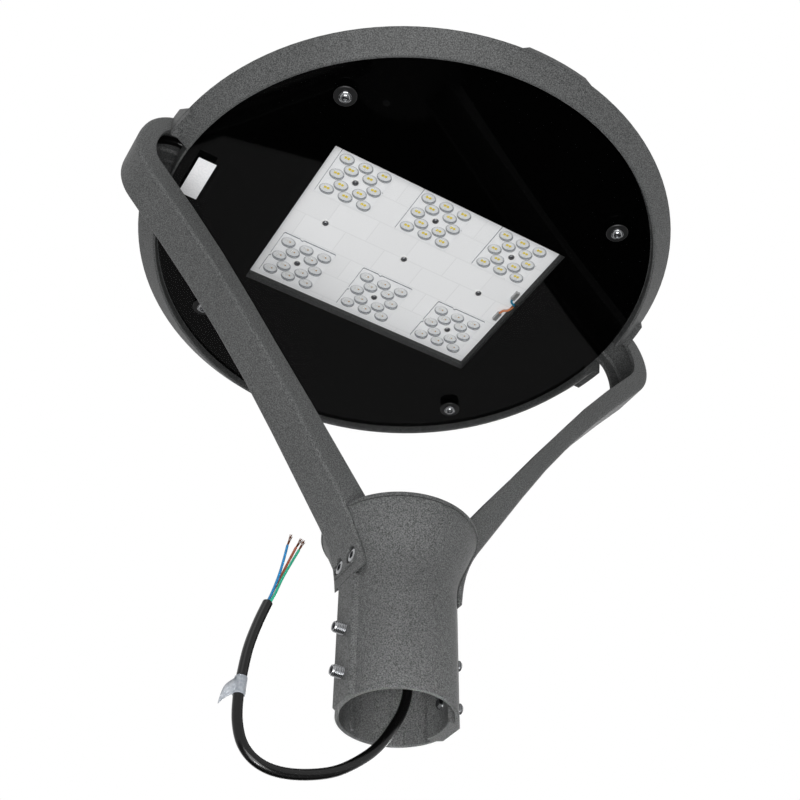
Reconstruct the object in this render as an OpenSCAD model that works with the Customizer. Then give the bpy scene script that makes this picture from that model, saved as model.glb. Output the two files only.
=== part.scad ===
// Post-top park luminaire: a round cast head with a glass front, held at both
// sides by curved channel arms that stand on a flared pole socket.
// Millimetres. Z is up, the origin is the centre of the socket's lower end,
// and the two arms lie in the XZ plane.

/* [Pole socket] */
// Outer diameter of the pole that the socket fits
pole_d = 60; // [58:1:64]
// Bore of the socket
bore_d = 74; // [72:1:76]
// Wall of the socket tube
socket_wall = 2.5; // [2:0.5:4]
// Depth that the pole enters
pole_depth = 88; // [84:1:92]
// Height of the socket's flare above the pole stop
flare_h = 48; // [46:1:54]
// Radius of the flare at its top
flare_r = 54.2; // [52:0.5:56]
// Wall of the flare
flare_wall = 3; // [2.5:0.5:4]
// Thickness of the cap plate
cap_t = 2.4; // [2:0.2:4]
// Half width of the flat pads for the set screws
pad_half_w = 10; // [8:1:12]
// Distance of the pads' outer faces from the axis
pad_x = 41; // [40.4:0.2:44]
// Diameter of the set screws
set_screw_d = 8; // [6:1:10]
// Height of the lower set screws
set_screw_low = 20; // [14:1:28]
// Distance between the lower and the upper set screws
set_screw_step = 32; // [24:1:40]

/* [Arms] */
// Width of an arm across its outer face
arm_w = 36.2; // [30:0.2:38]
// Wall of the arm's outer face
arm_web = 3.5; // [3:0.5:5]
// Wall of the arm's side flanges
arm_flange = 3.5; // [3:0.5:5]
// Radius on the arm's outer edges
arm_edge_r = 3; // [1:0.5:3]
// Depth of the flanges at the foot
arm_foot_depth = 21; // [19:0.5:24]
// Depth of the flanges at the middle of the arm
arm_mid_depth = 14; // [13:0.5:18]
// Depth of the flanges below the elbow
arm_elbow_depth = 16; // [14:0.5:18]
// Depth of the flanges at the head
arm_head_depth = 15; // [14:0.5:18]
// Length of the arm's long straight and slightly curved stretch
arm_reach = 182; // [176:1:188]
// Height of the foot screws
foot_screw_z = 105; // [103:1:108]
// Half distance between the two foot screws
foot_screw_y = 8.6; // [8:0.1:9]

/* [Head] */
// Radius of the head's inner rim round the glass
rim_r = 209.6; // [208:0.2:212]
// Flat width of the rim's lower edge
rim_lip = 2; // [1.5:0.5:3]
// Width of the skirt, from the inner rim to the head's widest line
skirt_w = 16.4; // [15.4:0.2:18]
// Height of the conical skirt
skirt_h = 14.6; // [13:0.2:17]
// Rise of the dome above the skirt
dome_rise = 45; // [40:1:55]
// Wall of the cast housing
cast_wall = 3.5; // [3:0.25:4.5]
// Width of the dome's fixed part, from the widest line to the top cover
dome_edge_w = 58.4; // [56:0.2:62]
// Wall of the top cover
cover_wall = 3; // [2.5:0.25:4]
// Width of the notches that the arms pass through, at the rim
notch_w = 44; // [42:1:50]
// Half width of the bosses at the arms, at their top
boss_half_w = 29; // [27:1:34]
// Number of screws in the top cover
cover_screw_count = 6; // [4:2:8]

/* [Glass] */
// Thickness of the glass
glass_t = 5; // [4:0.5:6]
// Gap between the glass and the rim
glass_gap = 1.4; // [1:0.2:2.5]
// Thickness of the gasket behind the glass
gasket_t = 2; // [1.5:0.5:3]
// Distance of the four glass screws from the inner rim
glass_screw_inset = 28.4; // [26:0.2:32]
// Diameter of the black washers
washer_d = 18; // [16:1:22]
// Thickness of the black washers
washer_t = 1.5; // [1:0.5:3]

/* [LED board] */
// Length of the LED board along X
board_l = 221; // [215:1:226]
// Width of the LED board along Y
board_w = 161; // [156:1:166]
// Thickness of the LED board
board_t = 1.6; // [1:0.2:2]
// Distance between lens arrays along X
array_pitch_x = 76.5; // [72:0.5:78]
// Distance of the two rows of lens arrays from the middle
array_row_y = 51; // [48:0.5:53]
// Side of a square lens array
array_side = 49.6; // [48:0.2:50]
// Distance between the lenses in an array
lens_pitch = 17.2; // [16.8:0.1:17.6]
// Radius of one lens
lens_r = 5.6; // [5:0.1:6]

/* [Supply cable] */
// Diameter of the cable
cable_d = 6.8; // [6:0.1:7]

/* [Hidden] */
$fn = 48;

// Clearances and small common sizes
eps = 0.01;
seat_gap = 0.25;
thread_gap = 0.05;

// Pole socket
bore_r = bore_d / 2;
tube_r = bore_r + socket_wall;
pad_in_r = pole_d / 2 + 2.8;
pad_in_a = 23;
rib_half_w = 1.3;
rib_r = bore_r - 1.6;
rib_a = 23;
stop_t = 3;
stop_r = 26;
flare_z = pole_depth;
flare_top = flare_z + flare_h;
flare_arc_r = 60;
flare_arc_a = 21.8;
cap_gap = 0.3;
cap_z = flare_top + cap_gap;
cap_top = cap_z + cap_t;
cap_r = flare_r + 1;
cap_boss_y = 40;
cap_boss_r = 6;
cap_boss_h = 16;
cap_screw_r = 2;
foot_z = pole_depth + 2;
seat_x = tube_r - 2;
seat_z = pole_depth + stop_t;
seat_top = foot_screw_z + 6;
seat_chamfer = 3;
seat_in_x = 28;
channel_half_w = arm_w / 2 - arm_flange;
key_half_w = channel_half_w - 0.3;
set_screw_out = 48.5;
set_screw_in = pole_d / 2 + 0.6;
foot_screw_r = 2.5;
foot_head_r = 5;
foot_head_h = 2.8;
foot_sink = 3.2;
foot_bore_r = 6.1;
foot_pad_half_h = 7;

// Arm: its outer face follows this path. A row is [radius, turn in degrees]
// for an arc, or [0, length] for a straight stretch. The stretch above the
// foot's bend is as long as the head's radius asks for.
skirt_r = rim_r + skirt_w;
arm_end_x = skirt_r - 35.6;
arm_section_n = 4;
arc_step = 6;
arm_start = [pad_x, foot_z];
arm_start_a = 84;
arm_bow = 9.5;
foot_run = 8;
foot_bend_r = 94;
foot_bend = 26.3;
top_run = 44;
elbow_rs = [42, 60, 36];
elbow_turns = [41.8, 25, 65];
head_run = 19.6;
function arm_path_of(run) = [
    [0, foot_run], [foot_bend_r, -foot_bend], [0, run],
    [arm_reach / arm_bow * 180 / PI, -arm_bow], [0, top_run],
    for (i = [0:2]) [elbow_rs[i], elbow_turns[i]],
    [0, head_run]
];
arm_path = arm_path_of(
    (arm_end_x - station_end(arm_path_of(0))[0]) / cos(arm_start_a - foot_bend)
);

// Head, upwards from the glass
head_drop = 38.1;
head_z = arm_station_end()[1] - head_drop;
rim_z = head_z;
lip_z = rim_z - 0.8;
skirt_z = rim_z + skirt_h;
cover_r = skirt_r - dome_edge_w;
glass_screw_r = rim_r - glass_screw_inset;
dome_R = (skirt_r * skirt_r + dome_rise * dome_rise) / (2 * dome_rise);
head_top = skirt_z + dome_rise;
glass_r = rim_r - glass_gap;
glass_top = rim_z + glass_t;
deck_z = glass_top + gasket_t;
deck_top = deck_z + cast_wall;
ledge_z = dome_z(cover_r) - 4.5;
ledge_in_r = cover_r - 14;
cover_gasket_t = 1.5;
cover_screw_r = cover_r - 7;
cover_screw_boss_r = 6;
cover_seat_z = dome_z(cover_screw_r) - 2.4;
lug_half_w = 25.7;
lug_slope_w = 7.5;
lug_h = 5.5;
lug_depth = 14;

// Head boss and pocket of each arm
arm_end = arm_station_end();
arm_end_top = arm_end[1];
pocket_x = arm_end[0] - 0.4;
pocket_half_w = arm_w / 2 + 0.5;
pocket_z = arm_end_top - arm_head_depth - 0.15;
boss_core_x = pocket_x - cast_wall;
boss_core_half_w = pocket_half_w + cast_wall;
boss_out_r = skirt_r - 0.4;
boss_bottom = deck_z + 1;
boss_top_out = skirt_z + 17.4;
boss_in_x = cover_r + 4;
boss_top_in = dome_z(boss_in_x) + 0.5;
boss_slope = 18;
head_screw_x = pocket_x + 9;
head_screw_y = 10.4;
head_post_r = 5.4;
head_screw_r = 3;
head_head_r = 5;
head_head_h = 3;
head_sink = 2.5;
head_thread_depth = 10;

// Glass
glass_hole_r = 4.5;
glass_screw_shank_r = 3;
glass_head_r = 5.2;
glass_head_h = 3.3;
glass_boss_r = 7;
glass_boss_gap = 0.3;
glass_thread_top = deck_z + 9;
gasket_in_r = rim_r - 13.6;
gasket_out_r = rim_r - 3.6;
label_l = 40;
label_w = 15.2;
label_t = 0.2;
label_x = -(rim_r - 18.9);
label_y = 1.6;

// LED box, board and lens arrays
box_gap = 5;
board_z = rim_z + 14.9;
box_ceiling = board_z + board_t;
box_l = board_l + 2 * box_gap;
box_w = board_w + 2 * box_gap;
box_top = box_ceiling + 4;
lens_plate_t = 1.5;
lens_plate_z = board_z - lens_plate_t;
lens_h = 4.2;
chip_side = 3;
chip_t = 0.6;
led_screw_r = 1.5;
led_head_r = 2.8;
led_head_h = 1.6;
connector = [3.6, 9, 3];
connector_x = board_l / 2 - 5.1;
connector_ys = [-15.2, 13.6];
array_cells = [for (i = [0:5]) [array_pitch_x * (i % 3 - 1), array_row_y * (i < 3 ? -1 : 1)]];
lens_cells = concat(
    [for (i = [-1:1], j = [-1:1]) if (i != 0 || j != 0) [i, j] * lens_pitch],
    [for (i = [-0.5, 0.5], j = [-0.5, 0.5]) [i, j] * lens_pitch]
);

// Driver side of the head
driver_size = [150, 62, 26];
driver_foot = [14, 62, 3];
driver_x = 20;
driver_screw_r = 2;
block_size = [16, 34, 15];
block_x = -box_l / 2 - cast_wall - 14;
clamp_x = 0.63 * (block_x - block_size[0] / 2) - 0.37 * boss_core_x;
clamp_size = [12, 30, 0];
clamp_z = rim_z + 17.5;
clamp_cap_t = 3;
clamp_screw_y = 10.5;
grommet_r = 5.4;
grommet_z = arm_end_top - 11.4;
grommet_neck_r = 4.8;
grommet_flange_t = 1.6;

// Supply cable: from the terminal block through the clamp and the grommet,
// inside the left arm, through the socket, then the free end. Points along
// its centre line.
cable_r = cable_d / 2;
cable_inset = arm_web + cable_r + 1.6;
cable_start_x = block_x - block_size[0] / 2 - 0.2;
cable_head_pts = [
    [cable_start_x, 0, clamp_z], [clamp_x + 8, 0, clamp_z], [clamp_x - 8, 0, clamp_z],
    [0.7 * (clamp_x - 8) - 0.3 * boss_core_x, 0, clamp_z + 1.6],
    [0.36 * (clamp_x - 8) - 0.64 * boss_core_x, 0, grommet_z - 1.8],
    [-boss_core_x, 0, grommet_z], [-pocket_x - 1.5, 0, grommet_z]
];
cable_arm_pts = [
    for (all = [arm_stations()], i = [len(all) - 2:-1:6]) let (s = all[i])
        [-s[0] + sin(s[2]) * cable_inset, 0, s[1] + cos(s[2]) * cable_inset]
];
cable_tail_pts = [
    [-42.5, 0, 129.5], [-34, 0, 120.4], [-26, 0, 111.6], [-18.4, 0, 101], [-11.4, 0, 88.5],
    [-3.6, 0, 71.5], [2.6, 0, 54], [6.6, 0, 37], [7.6, 0, 21.4], [4.3, 0, 7.2], [-2.9, 0, -7.6],
    [-12.3, 0, -22], [-24.4, 0, -34.4], [-41.4, 0, -46.4], [-61, 0, -53.9], [-79.3, 0, -56.8],
    [-93.4, 0, -54.2], [-102.9, 0, -46.4], [-107.8, 0, -33.6], [-109.1, 0, -17],
    [-108.1, 0, -1], [-105.8, 0, 17.6], [-101.2, 0, 36.6], [-96, 0, 53]
];
function cable_line() =
    concat(spline(cable_head_pts, 2), cable_arm_pts, spline(cable_tail_pts, 2));
cable_sides = 10;
tag_z = [-16, -4];
tag_flag = [14, 0.8, 10];
cable_tag_x = -109;
core_r = 1.4;
strand_r = 0.7;
core_ring_r = 1.75;
cable_end = cable_tail_pts[len(cable_tail_pts) - 1];
cable_end_dir = unit(cable_end - cable_tail_pts[len(cable_tail_pts) - 2]);

// Each core starts on the sheath's end face, at angle a round it
function core_start(a, d) =
    let (u = unit(cross(cable_end_dir, [0, 1, 0])), v = cross(cable_end_dir, u))
    cable_end + cable_end_dir * d + core_ring_r * (u * cos(a) + v * sin(a));
// Each core: points of its insulated length, and the tip of its bare strands
core_blue_pts = [
    core_start(0, 0.4), core_start(0, 5), [-91.6, 0, 72], [-88.6, -0.5, 88], [-86, -1, 101]
];
core_blue_tip = [-84, -1.2, 111];
core_brown_pts = [
    core_start(240, 0.4), core_start(240, 5), [-88.5, 2.6, 72], [-83.6, 4, 88], [-79.8, 4.5, 101]
];
core_brown_tip = [-75.6, 4.6, 111];
core_earth_pts = [
    core_start(120, 0.4), core_start(120, 5), [-88, -3.4, 71], [-82.4, -5, 86], [-77.6, -5.5, 99]
];
core_earth_tip = [-73.6, -5.8, 109];

function dome_z(r) = head_top - dome_R + sqrt(dome_R * dome_R - r * r);

// Points of the dome's outer line from radius a to radius b, moved down by t
function dome_line(a, b, t, n) =
    [for (i = [0:n]) let (r = a + (b - a) * i / n) [r, dome_z(r) - t]];

function arc_points(c, r, a0, a1, n) =
    [for (i = [0:n]) let (a = a0 + (a1 - a0) * i / n) c + r * [cos(a), sin(a)]];

// A station is [x, z, heading, distance along the path]
function step_straight(s, d) =
    [s[0] + d * cos(s[2]), s[1] + d * sin(s[2]), s[2], s[3] + d];
function step_arc(s, r, a) =
    let (chord = 2 * r * sin(abs(a) / 2), m = s[2] + a / 2)
    [s[0] + chord * cos(m), s[1] + chord * sin(m), s[2] + a, s[3] + r * abs(a) * PI / 180];
function piece_stations(s, p) =
    p[0] == 0
        ? [step_straight(s, p[1])]
        : let (n = max(4, ceil(abs(p[1]) / arc_step)))
          [for (i = [1:n]) step_arc(s, p[0], p[1] * i / n)];
function path_stations(s, path, i = 0) =
    i == len(path)
        ? []
        : let (part = piece_stations(s, path[i]))
          concat(part, path_stations(part[len(part) - 1], path, i + 1));
function arm_stations() =
    let (start = [arm_start[0], arm_start[1], arm_start_a, 0])
    concat([start], path_stations(start, arm_path));
function station_end(path) =
    let (
        start = [arm_start[0], arm_start[1], arm_start_a, 0],
        all = path_stations(start, path)
    )
    all[len(all) - 1];
function arm_station_end() = station_end(arm_path);

// Depth of the arm's flanges at a distance s along its path of length l
function arm_depth(s, l) =
    lookup(s, [
        [60, arm_foot_depth], [170, arm_mid_depth], [230, arm_mid_depth],
        [300, arm_elbow_depth], [l - 120, arm_elbow_depth],
        [l - 60, arm_head_depth], [l, arm_head_depth]
    ]);

// Open channel section as points [across, inwards], counterclockwise
function channel_points(w, depth, web, flange, r) =
    concat(
        arc_points([-w / 2 + r, r], r, 180, 270, arm_section_n),
        arc_points([w / 2 - r, r], r, 270, 360, arm_section_n),
        [[w / 2, depth], [w / 2 - flange, depth]],
        [[w / 2 - flange, web + 2], [w / 2 - flange - 2, web]],
        [[-w / 2 + flange + 2, web], [-w / 2 + flange, web + 2]],
        [[-w / 2 + flange, depth], [-w / 2, depth]]
    );

// Skin over a list of rings with equal numbers of points
module skin(rings) {
    n = len(rings[0]);
    last = len(rings) - 1;
    polyhedron(
        points = [for (ring = rings, p = ring) p],
        faces = concat(
            [[for (j = [0:n - 1]) j]],
            [for (i = [0:last - 1], j = [0:n - 1])
                [i * n + j, (i + 1) * n + j, (i + 1) * n + (j + 1) % n, i * n + (j + 1) % n]],
            [[for (j = [n - 1:-1:0]) last * n + j]]
        )
    );
}

// Smooth line through points: n steps between neighbours
function spline_point(p, i, t) =
    let (
        a = p[max(i - 1, 0)], b = p[i], c = p[i + 1], d = p[min(i + 2, len(p) - 1)]
    )
    0.5 * (2 * b + (c - a) * t + (2 * a - 5 * b + 4 * c - d) * t * t
        + (3 * b - a - 3 * c + d) * t * t * t);
function spline(p, n) =
    concat(
        [for (i = [0:len(p) - 2], k = [0:n - 1]) spline_point(p, i, k / n)],
        [p[len(p) - 1]]
    );
function unit(v) = v / norm(v);
// Ring of a round tube at point i of a line, kept square to the line. The
// reference direction is across the plane in which the line mostly lies.
function tube_ring(line, i, r, sides) =
    let (
        t = unit(line[min(i + 1, len(line) - 1)] - line[max(i - 1, 0)]),
        u = unit(cross(t, [0, 1, 0])),
        v = cross(t, u)
    )
    [for (k = [0:sides - 1]) let (a = 360 * k / sides) line[i] + r * (u * cos(a) + v * sin(a))];
module tube(line, r, sides) {
    skin([for (i = [0:len(line) - 1]) tube_ring(line, i, r, sides)]);
}

module mirror_x() {
    children();
    mirror([1, 0, 0]) children();
}
module mirror_y() {
    children();
    mirror([0, 1, 0]) children();
}

// Extrusion of an XZ outline, centred across Y
module across_y(w) {
    translate([0, w / 2, 0]) rotate([90, 0, 0]) linear_extrude(w) children();
}
// Extrusion of a YZ outline from x0 to x1
module along_x(x0, x1) {
    translate([x0, 0, 0]) rotate([90, 0, 90]) linear_extrude(x1 - x0) children();
}
module rod_x(x0, x1, r) {
    translate([x0, 0, 0]) rotate([0, 90, 0]) cylinder(r = r, h = x1 - x0);
}
module rod_z(z0, z1, r) {
    translate([0, 0, z0]) cylinder(r = r, h = z1 - z0);
}

// Pole socket

function flare_points(grow) =
    let (
        bend = arc_points(
            [tube_r + flare_arc_r, flare_z], flare_arc_r - grow, 180, 180 - flare_arc_a, 6
        ),
        last = bend[len(bend) - 1]
    )
    concat(bend, [[last[0] + (flare_top - last[1]) * tan(flare_arc_a) * flare_scale(), flare_top]]);
// Share of the bend's slope that the straight part keeps, so that the top
// comes out at its own radius
function flare_scale() =
    let (
        x = tube_r + flare_arc_r * (1 - cos(flare_arc_a)),
        z = flare_z + flare_arc_r * sin(flare_arc_a)
    )
    (flare_r - x) / ((flare_top - z) * tan(flare_arc_a));

// Everything inside the socket's outer surface and its cap, grown by a gap
module socket_envelope(grow) {
    rotate_extrude($fn = 96)
        polygon(concat(
            [[0, -1], [tube_r + grow, -1]],
            flare_points(grow),
            [[cap_r + grow, flare_top], [cap_r + grow, cap_top + grow], [0, cap_top + grow]]
        ));
}

// Keyway at each side in which the web of an arm's foot seats
module foot_keyway(clear) {
    mirror_x()
        translate([seat_x, -key_half_w + clear, seat_z])
            cube([flare_r, 2 * (key_half_w - clear), cap_top - seat_z + 5]);
}

module socket_tube() {
    rotate_extrude($fn = 96)
        polygon(concat(
            [[bore_r, 0], [tube_r, 0]],
            flare_points(0),
            [[flare_r - flare_wall, flare_top]],
            flare_inside(),
            [[bore_r - 0.6, flare_z + stop_t], [stop_r, flare_z + stop_t], [stop_r, flare_z]],
            [[bore_r, flare_z]]
        ));
}
function flare_inside() =
    let (p = flare_points(0), n = len(p))
    [for (i = [n - 2:-1:2]) [p[i][0] - flare_wall, p[i][1]]];

module socket_pads() {
    // Outer flat pad with bevelled sides at each side
    mirror_x() {
        linear_extrude(foot_z - 0.3)
            polygon([
                [tube_r - 2, -pad_half_w - 2.5], [pad_x - 1, -pad_half_w - 0.8],
                [pad_x, -pad_half_w], [pad_x, pad_half_w],
                [pad_x - 1, pad_half_w + 0.8], [tube_r - 2, pad_half_w + 2.5]
            ]);
    }
    // Raised inner pad on the right, as the part of a ring
    rotate(-pad_in_a)
        rotate_extrude(angle = 2 * pad_in_a, $fn = 96)
            translate([pad_in_r, 0]) square([bore_r + 1 - pad_in_r, pole_depth + 1]);
}

module socket_ribs() {
    mirror_y()
        for (a = [90 - rib_a, 90 + rib_a])
            rotate(a)
                translate([rib_r, -rib_half_w, 3])
                    cube([bore_r + 0.8 - rib_r, 2 * rib_half_w, pole_depth - 3]);
}

module seat_bosses() {
    // Thick seats behind the arms' feet, above the pole stop
    mirror_x()
        intersection() {
            across_y(2 * channel_half_w + 2)
                polygon([
                    [seat_in_x, pole_depth], [seat_x, pole_depth], [seat_x, seat_top],
                    [seat_in_x + seat_chamfer, seat_top], [seat_in_x, seat_top - seat_chamfer]
                ]);
            socket_envelope(-0.5);
        }
}

module cap_bosses() {
    mirror_y()
        intersection() {
            translate([-cap_boss_r, cap_boss_y, flare_top - cap_boss_h])
                translate([cap_boss_r, 0, 0])
                    union() {
                        cylinder(r = cap_boss_r, h = cap_boss_h);
                        translate([-cap_boss_r, 0, 0])
                            cube([2 * cap_boss_r, flare_r - cap_boss_y, cap_boss_h]);
                    }
            socket_envelope(-flare_wall / 2);
        }
}

module pole_socket() {
    color("#5a5b5c")
        difference() {
            union() {
                difference() {
                    union() {
                        socket_tube();
                        socket_pads();
                        socket_ribs();
                        cap_bosses();
                    }
                    foot_keyway(0);
                }
                seat_bosses();
            }
            for (z = [set_screw_low, set_screw_low + set_screw_step])
                translate([0, 0, z])
                    mirror_x() rod_x(pad_in_r - 4, pad_x + 2, set_screw_d / 2 + thread_gap);
            mirror_x() mirror_y()
                translate([0, foot_screw_y, foot_screw_z])
                    rod_x(seat_in_x - 1, seat_x + 2, foot_screw_r + thread_gap);
            mirror_y()
                translate([0, cap_boss_y, 0])
                    rod_z(flare_top - cap_boss_h + 3, flare_top + 1, cap_screw_r + thread_gap);
        }
}

module socket_cap() {
    color("#565758")
        difference() {
            rod_z(cap_z, cap_top, cap_r);
            foot_keyway(0);
            mirror_y() translate([0, cap_boss_y, 0]) {
                rod_z(cap_z - 1, cap_top + 1, cap_screw_r + 0.3);
                translate([0, 0, cap_top - cap_screw_r])
                    cylinder(r1 = cap_screw_r, r2 = 2 * cap_screw_r + 0.2, h = cap_screw_r + eps);
            }
        }
}

module cap_screws() {
    color("#9a9a98")
        mirror_y() translate([0, cap_boss_y, 0]) {
            difference() {
                union() {
                    rod_z(flare_top - cap_boss_h + 5, cap_top - 0.2, cap_screw_r);
                    translate([0, 0, cap_top - cap_screw_r - 0.1])
                        cylinder(r1 = cap_screw_r - 0.2, r2 = 2 * cap_screw_r - 0.2, h = cap_screw_r);
                }
                translate([0, 0, cap_top - 1.4]) cylinder(r = 1.2, h = 3, $fn = 6);
            }
        }
}

module set_screws() {
    color("#b9bbbc")
        mirror_x()
            for (z = [set_screw_low, set_screw_low + set_screw_step])
                translate([0, 0, z])
                    difference() {
                        union() {
                            rod_x(set_screw_in + 1.2, set_screw_out - 0.8, set_screw_d / 2);
                            translate([set_screw_in, 0, 0]) rotate([0, 90, 0])
                                cylinder(r1 = set_screw_d / 2 - 1.4, r2 = set_screw_d / 2, h = 1.2);
                            translate([set_screw_out - 0.8, 0, 0]) rotate([0, 90, 0])
                                cylinder(r1 = set_screw_d / 2, r2 = set_screw_d / 2 - 0.8, h = 0.8);
                        }
                        translate([set_screw_out - 4.5, 0, 0]) rotate([0, 90, 0])
                            cylinder(r = 2.3, h = 5, $fn = 6);
                    }
}

// Arms

module arm_bar() {
    stations = arm_stations();
    length = stations[len(stations) - 1][3];
    skin([for (s = stations)
        let (section = channel_points(
            arm_w, arm_depth(s[3], length), arm_web, arm_flange, arm_edge_r
        ))
        [for (q = section) [s[0] - sin(s[2]) * q[1], q[0], s[1] + cos(s[2]) * q[1]]]
    ]);
}

// The bar with its foot cut to the flare: the flanges end on the outside of
// the socket, and the web passes into the keyway. Zeros keep the bar's size.
module fitted_bar() {
    resize([0, 0, 0])
        difference() {
            arm_bar();
            difference() {
                socket_envelope(seat_gap);
                foot_keyway(seat_gap);
            }
            foot_bevel();
        }
}

// Cut that slopes the lower ends of the foot's flanges upwards to the socket
module foot_bevel() {
    across_y(2 * arm_w)
        polygon([
            [pad_x - 1.2, foot_z - 1], [pad_x - 1.2, foot_z + 0.4], [pad_x - 2.2, foot_z + 1.6],
            [pad_x - arm_foot_depth, foot_z + arm_foot_depth], [pad_x - arm_foot_depth, foot_z - 1]
        ]);
}

// Solid pad behind the foot's web, which seats in the socket's keyway
module foot_pad() {
    translate([seat_x, -key_half_w + seat_gap, foot_screw_z - foot_pad_half_h])
        cube([pad_x + 2 - seat_x, 2 * (key_half_w - seat_gap), 2 * foot_pad_half_h]);
}

module head_posts() {
    mirror_y()
        translate([head_screw_x, head_screw_y, 0])
            rod_z(pocket_z, arm_end_top - arm_web + 0.5, head_post_r);
}

module arm() {
    difference() {
        union() {
            fitted_bar();
            foot_pad();
            head_posts();
        }
        // Screw holes and their counterbores at the foot and at the head
        mirror_y() translate([0, foot_screw_y, foot_screw_z]) {
            rod_x(seat_x - 1, pad_x + 9, foot_screw_r + 0.3);
            rod_x(foot_face_x() - foot_sink, pad_x + 12, foot_bore_r);
        }
        mirror_y() translate([head_screw_x, head_screw_y, 0]) {
            rod_z(pocket_z - 1, arm_end_top + 1, head_screw_r + 0.3);
            rod_z(arm_end_top - head_sink, arm_end_top + 2, head_head_r + 0.4);
        }
    }
}
// Distance from the axis of the arm's outer face at the foot screws
function foot_face_x() =
    let (all = arm_stations())
    lookup(foot_screw_z, [for (i = [0:8]) [all[i][1], all[i][0]]]);

module arm_right() { color("#585959") arm(); }
module arm_left() { color("#585959") mirror([1, 0, 0]) arm(); }

module arm_foot_screws() {
    color("#a9abac")
        mirror_x() mirror_y()
            translate([0, foot_screw_y, foot_screw_z])
                difference() {
                    union() {
                        rod_x(seat_in_x + 1, foot_face_x() - foot_sink + 0.5, foot_screw_r);
                        rod_x(
                            foot_face_x() - foot_sink, foot_face_x() - foot_sink + foot_head_h,
                            foot_head_r
                        );
                    }
                    translate([foot_face_x() - foot_sink + 1, 0, 0]) rotate([0, 90, 0])
                        cylinder(r = 2.3, h = 5, $fn = 6);
                }
}

module arm_head_screws() {
    color("#a9abac")
        mirror_x() mirror_y()
            translate([head_screw_x, head_screw_y, 0])
                difference() {
                    union() {
                        rod_z(pocket_z - head_thread_depth + 1, arm_end_top - head_sink + 0.5,
                            head_screw_r);
                        rod_z(arm_end_top - head_sink, arm_end_top - head_sink + head_head_h,
                            head_head_r);
                    }
                    translate([0, 0, arm_end_top - head_sink + 1.2])
                        cylinder(r = 2.3, h = 5, $fn = 6);
                }
}

// Head housing

function skirt_at(z) =
    rim_r + rim_lip + (skirt_r - rim_r - rim_lip) * (z - lip_z) / (skirt_z - lip_z);

module housing_revolve() {
    rotate_extrude($fn = 96)
        polygon(concat(
            [[0, deck_z], [rim_r, deck_z], [rim_r, lip_z], [rim_r + rim_lip, lip_z]],
            [[skirt_r, skirt_z]],
            dome_line(skirt_r - 2, cover_r + 0.4, 0, 6),
            [[cover_r + 0.4, ledge_z], [ledge_in_r, ledge_z]],
            [[ledge_in_r, ledge_z - cast_wall], [cover_r + cast_wall, ledge_z - cast_wall]],
            dome_line(cover_r + cast_wall + 2, skirt_r - 9, cast_wall, 5),
            [[skirt_at(deck_top + 2.6) - 6, deck_top + 2.6], [skirt_at(deck_top) - 6, deck_top]],
            [[0, deck_top]]
        ));
}

// Raised boss over the notch of the right arm
module boss_shape() {
    intersection() {
        cylinder(r = boss_out_r, h = head_top + 10);
        across_y(4 * boss_half_w)
            polygon([
                [boss_in_x, ledge_z - cast_wall], [boss_in_x, boss_top_in],
                [skirt_r + 1, boss_top_out], [skirt_r + 1, boss_bottom],
                [boss_in_x + cast_wall + 1, boss_bottom],
                [boss_in_x + cast_wall + 1, ledge_z - cast_wall]
            ]);
        along_x(boss_in_x - 1, skirt_r + 2)
            boss_profile(0, boss_bottom);
    }
}
// Cross-section of the boss with its walls moved in by t, from height z up
module boss_profile(t, z) {
    polygon([
        [-boss_half_w - boss_slope + t, z], [boss_half_w + boss_slope - t, z],
        [boss_half_w + boss_slope - t, boss_top_out - boss_slope],
        [boss_half_w - t, boss_top_out - t / 2], [boss_half_w - t, boss_top_out + 10],
        [-boss_half_w + t, boss_top_out + 10], [-boss_half_w + t, boss_top_out - t / 2],
        [-boss_half_w - boss_slope + t, boss_top_out - boss_slope]
    ]);
}

// Hollow under the boss, open towards the middle of the head
module boss_hollow() {
    intersection() {
        cylinder(r = skirt_at(deck_top) - 6, h = head_top + 10);
        across_y(4 * boss_half_w)
            polygon([
                [boss_in_x + cast_wall, deck_top + eps], [skirt_r, deck_top + eps],
                [skirt_r, boss_top_out - cast_wall],
                [boss_in_x + cast_wall, boss_top_in - cast_wall]
            ]);
        along_x(boss_in_x, skirt_r + 1)
            boss_profile(cast_wall, deck_top);
    }
}

// Solid core round the pocket in which the arm's end is bolted
module boss_core() {
    intersection() {
        boss_shape();
        translate([boss_core_x, -boss_core_half_w, boss_bottom])
            cube([skirt_r - boss_core_x + 1, 2 * boss_core_half_w, head_top - deck_z]);
    }
}

// Way of the arm: the notch in the skirt, widening towards the rim, and the
// pocket above it
module arm_way() {
    difference() {
        along_x(rim_r - 20, skirt_r + 5)
            polygon([
                [-notch_w / 2, lip_z - 1], [notch_w / 2, lip_z - 1],
                [pocket_half_w, pocket_z - 4], [pocket_half_w, pocket_z],
                [-pocket_half_w, pocket_z], [-pocket_half_w, pocket_z - 4]
            ]);
        rod_z(lip_z - 2, pocket_z + 1, rim_r - 0.3);
    }
    translate([pocket_x, -pocket_half_w, pocket_z])
        cube([skirt_r, 2 * pocket_half_w, head_top]);
}

module lug() {
    // Raised lug on the dome's edge at the front and at the back
    intersection() {
        cylinder(r = boss_out_r, h = head_top);
        translate([0, -skirt_r + lug_depth, 0])
            rotate([90, 0, 0])
                linear_extrude(lug_depth)
                    polygon([
                        [-lug_half_w - lug_slope_w, skirt_z - 2],
                        [lug_half_w + lug_slope_w, skirt_z - 2],
                        [lug_half_w + lug_slope_w, skirt_z - 0.5],
                        [lug_half_w, skirt_z + lug_h], [-lug_half_w, skirt_z + lug_h],
                        [-lug_half_w - lug_slope_w, skirt_z - 0.5]
                    ]);
    }
}

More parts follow.
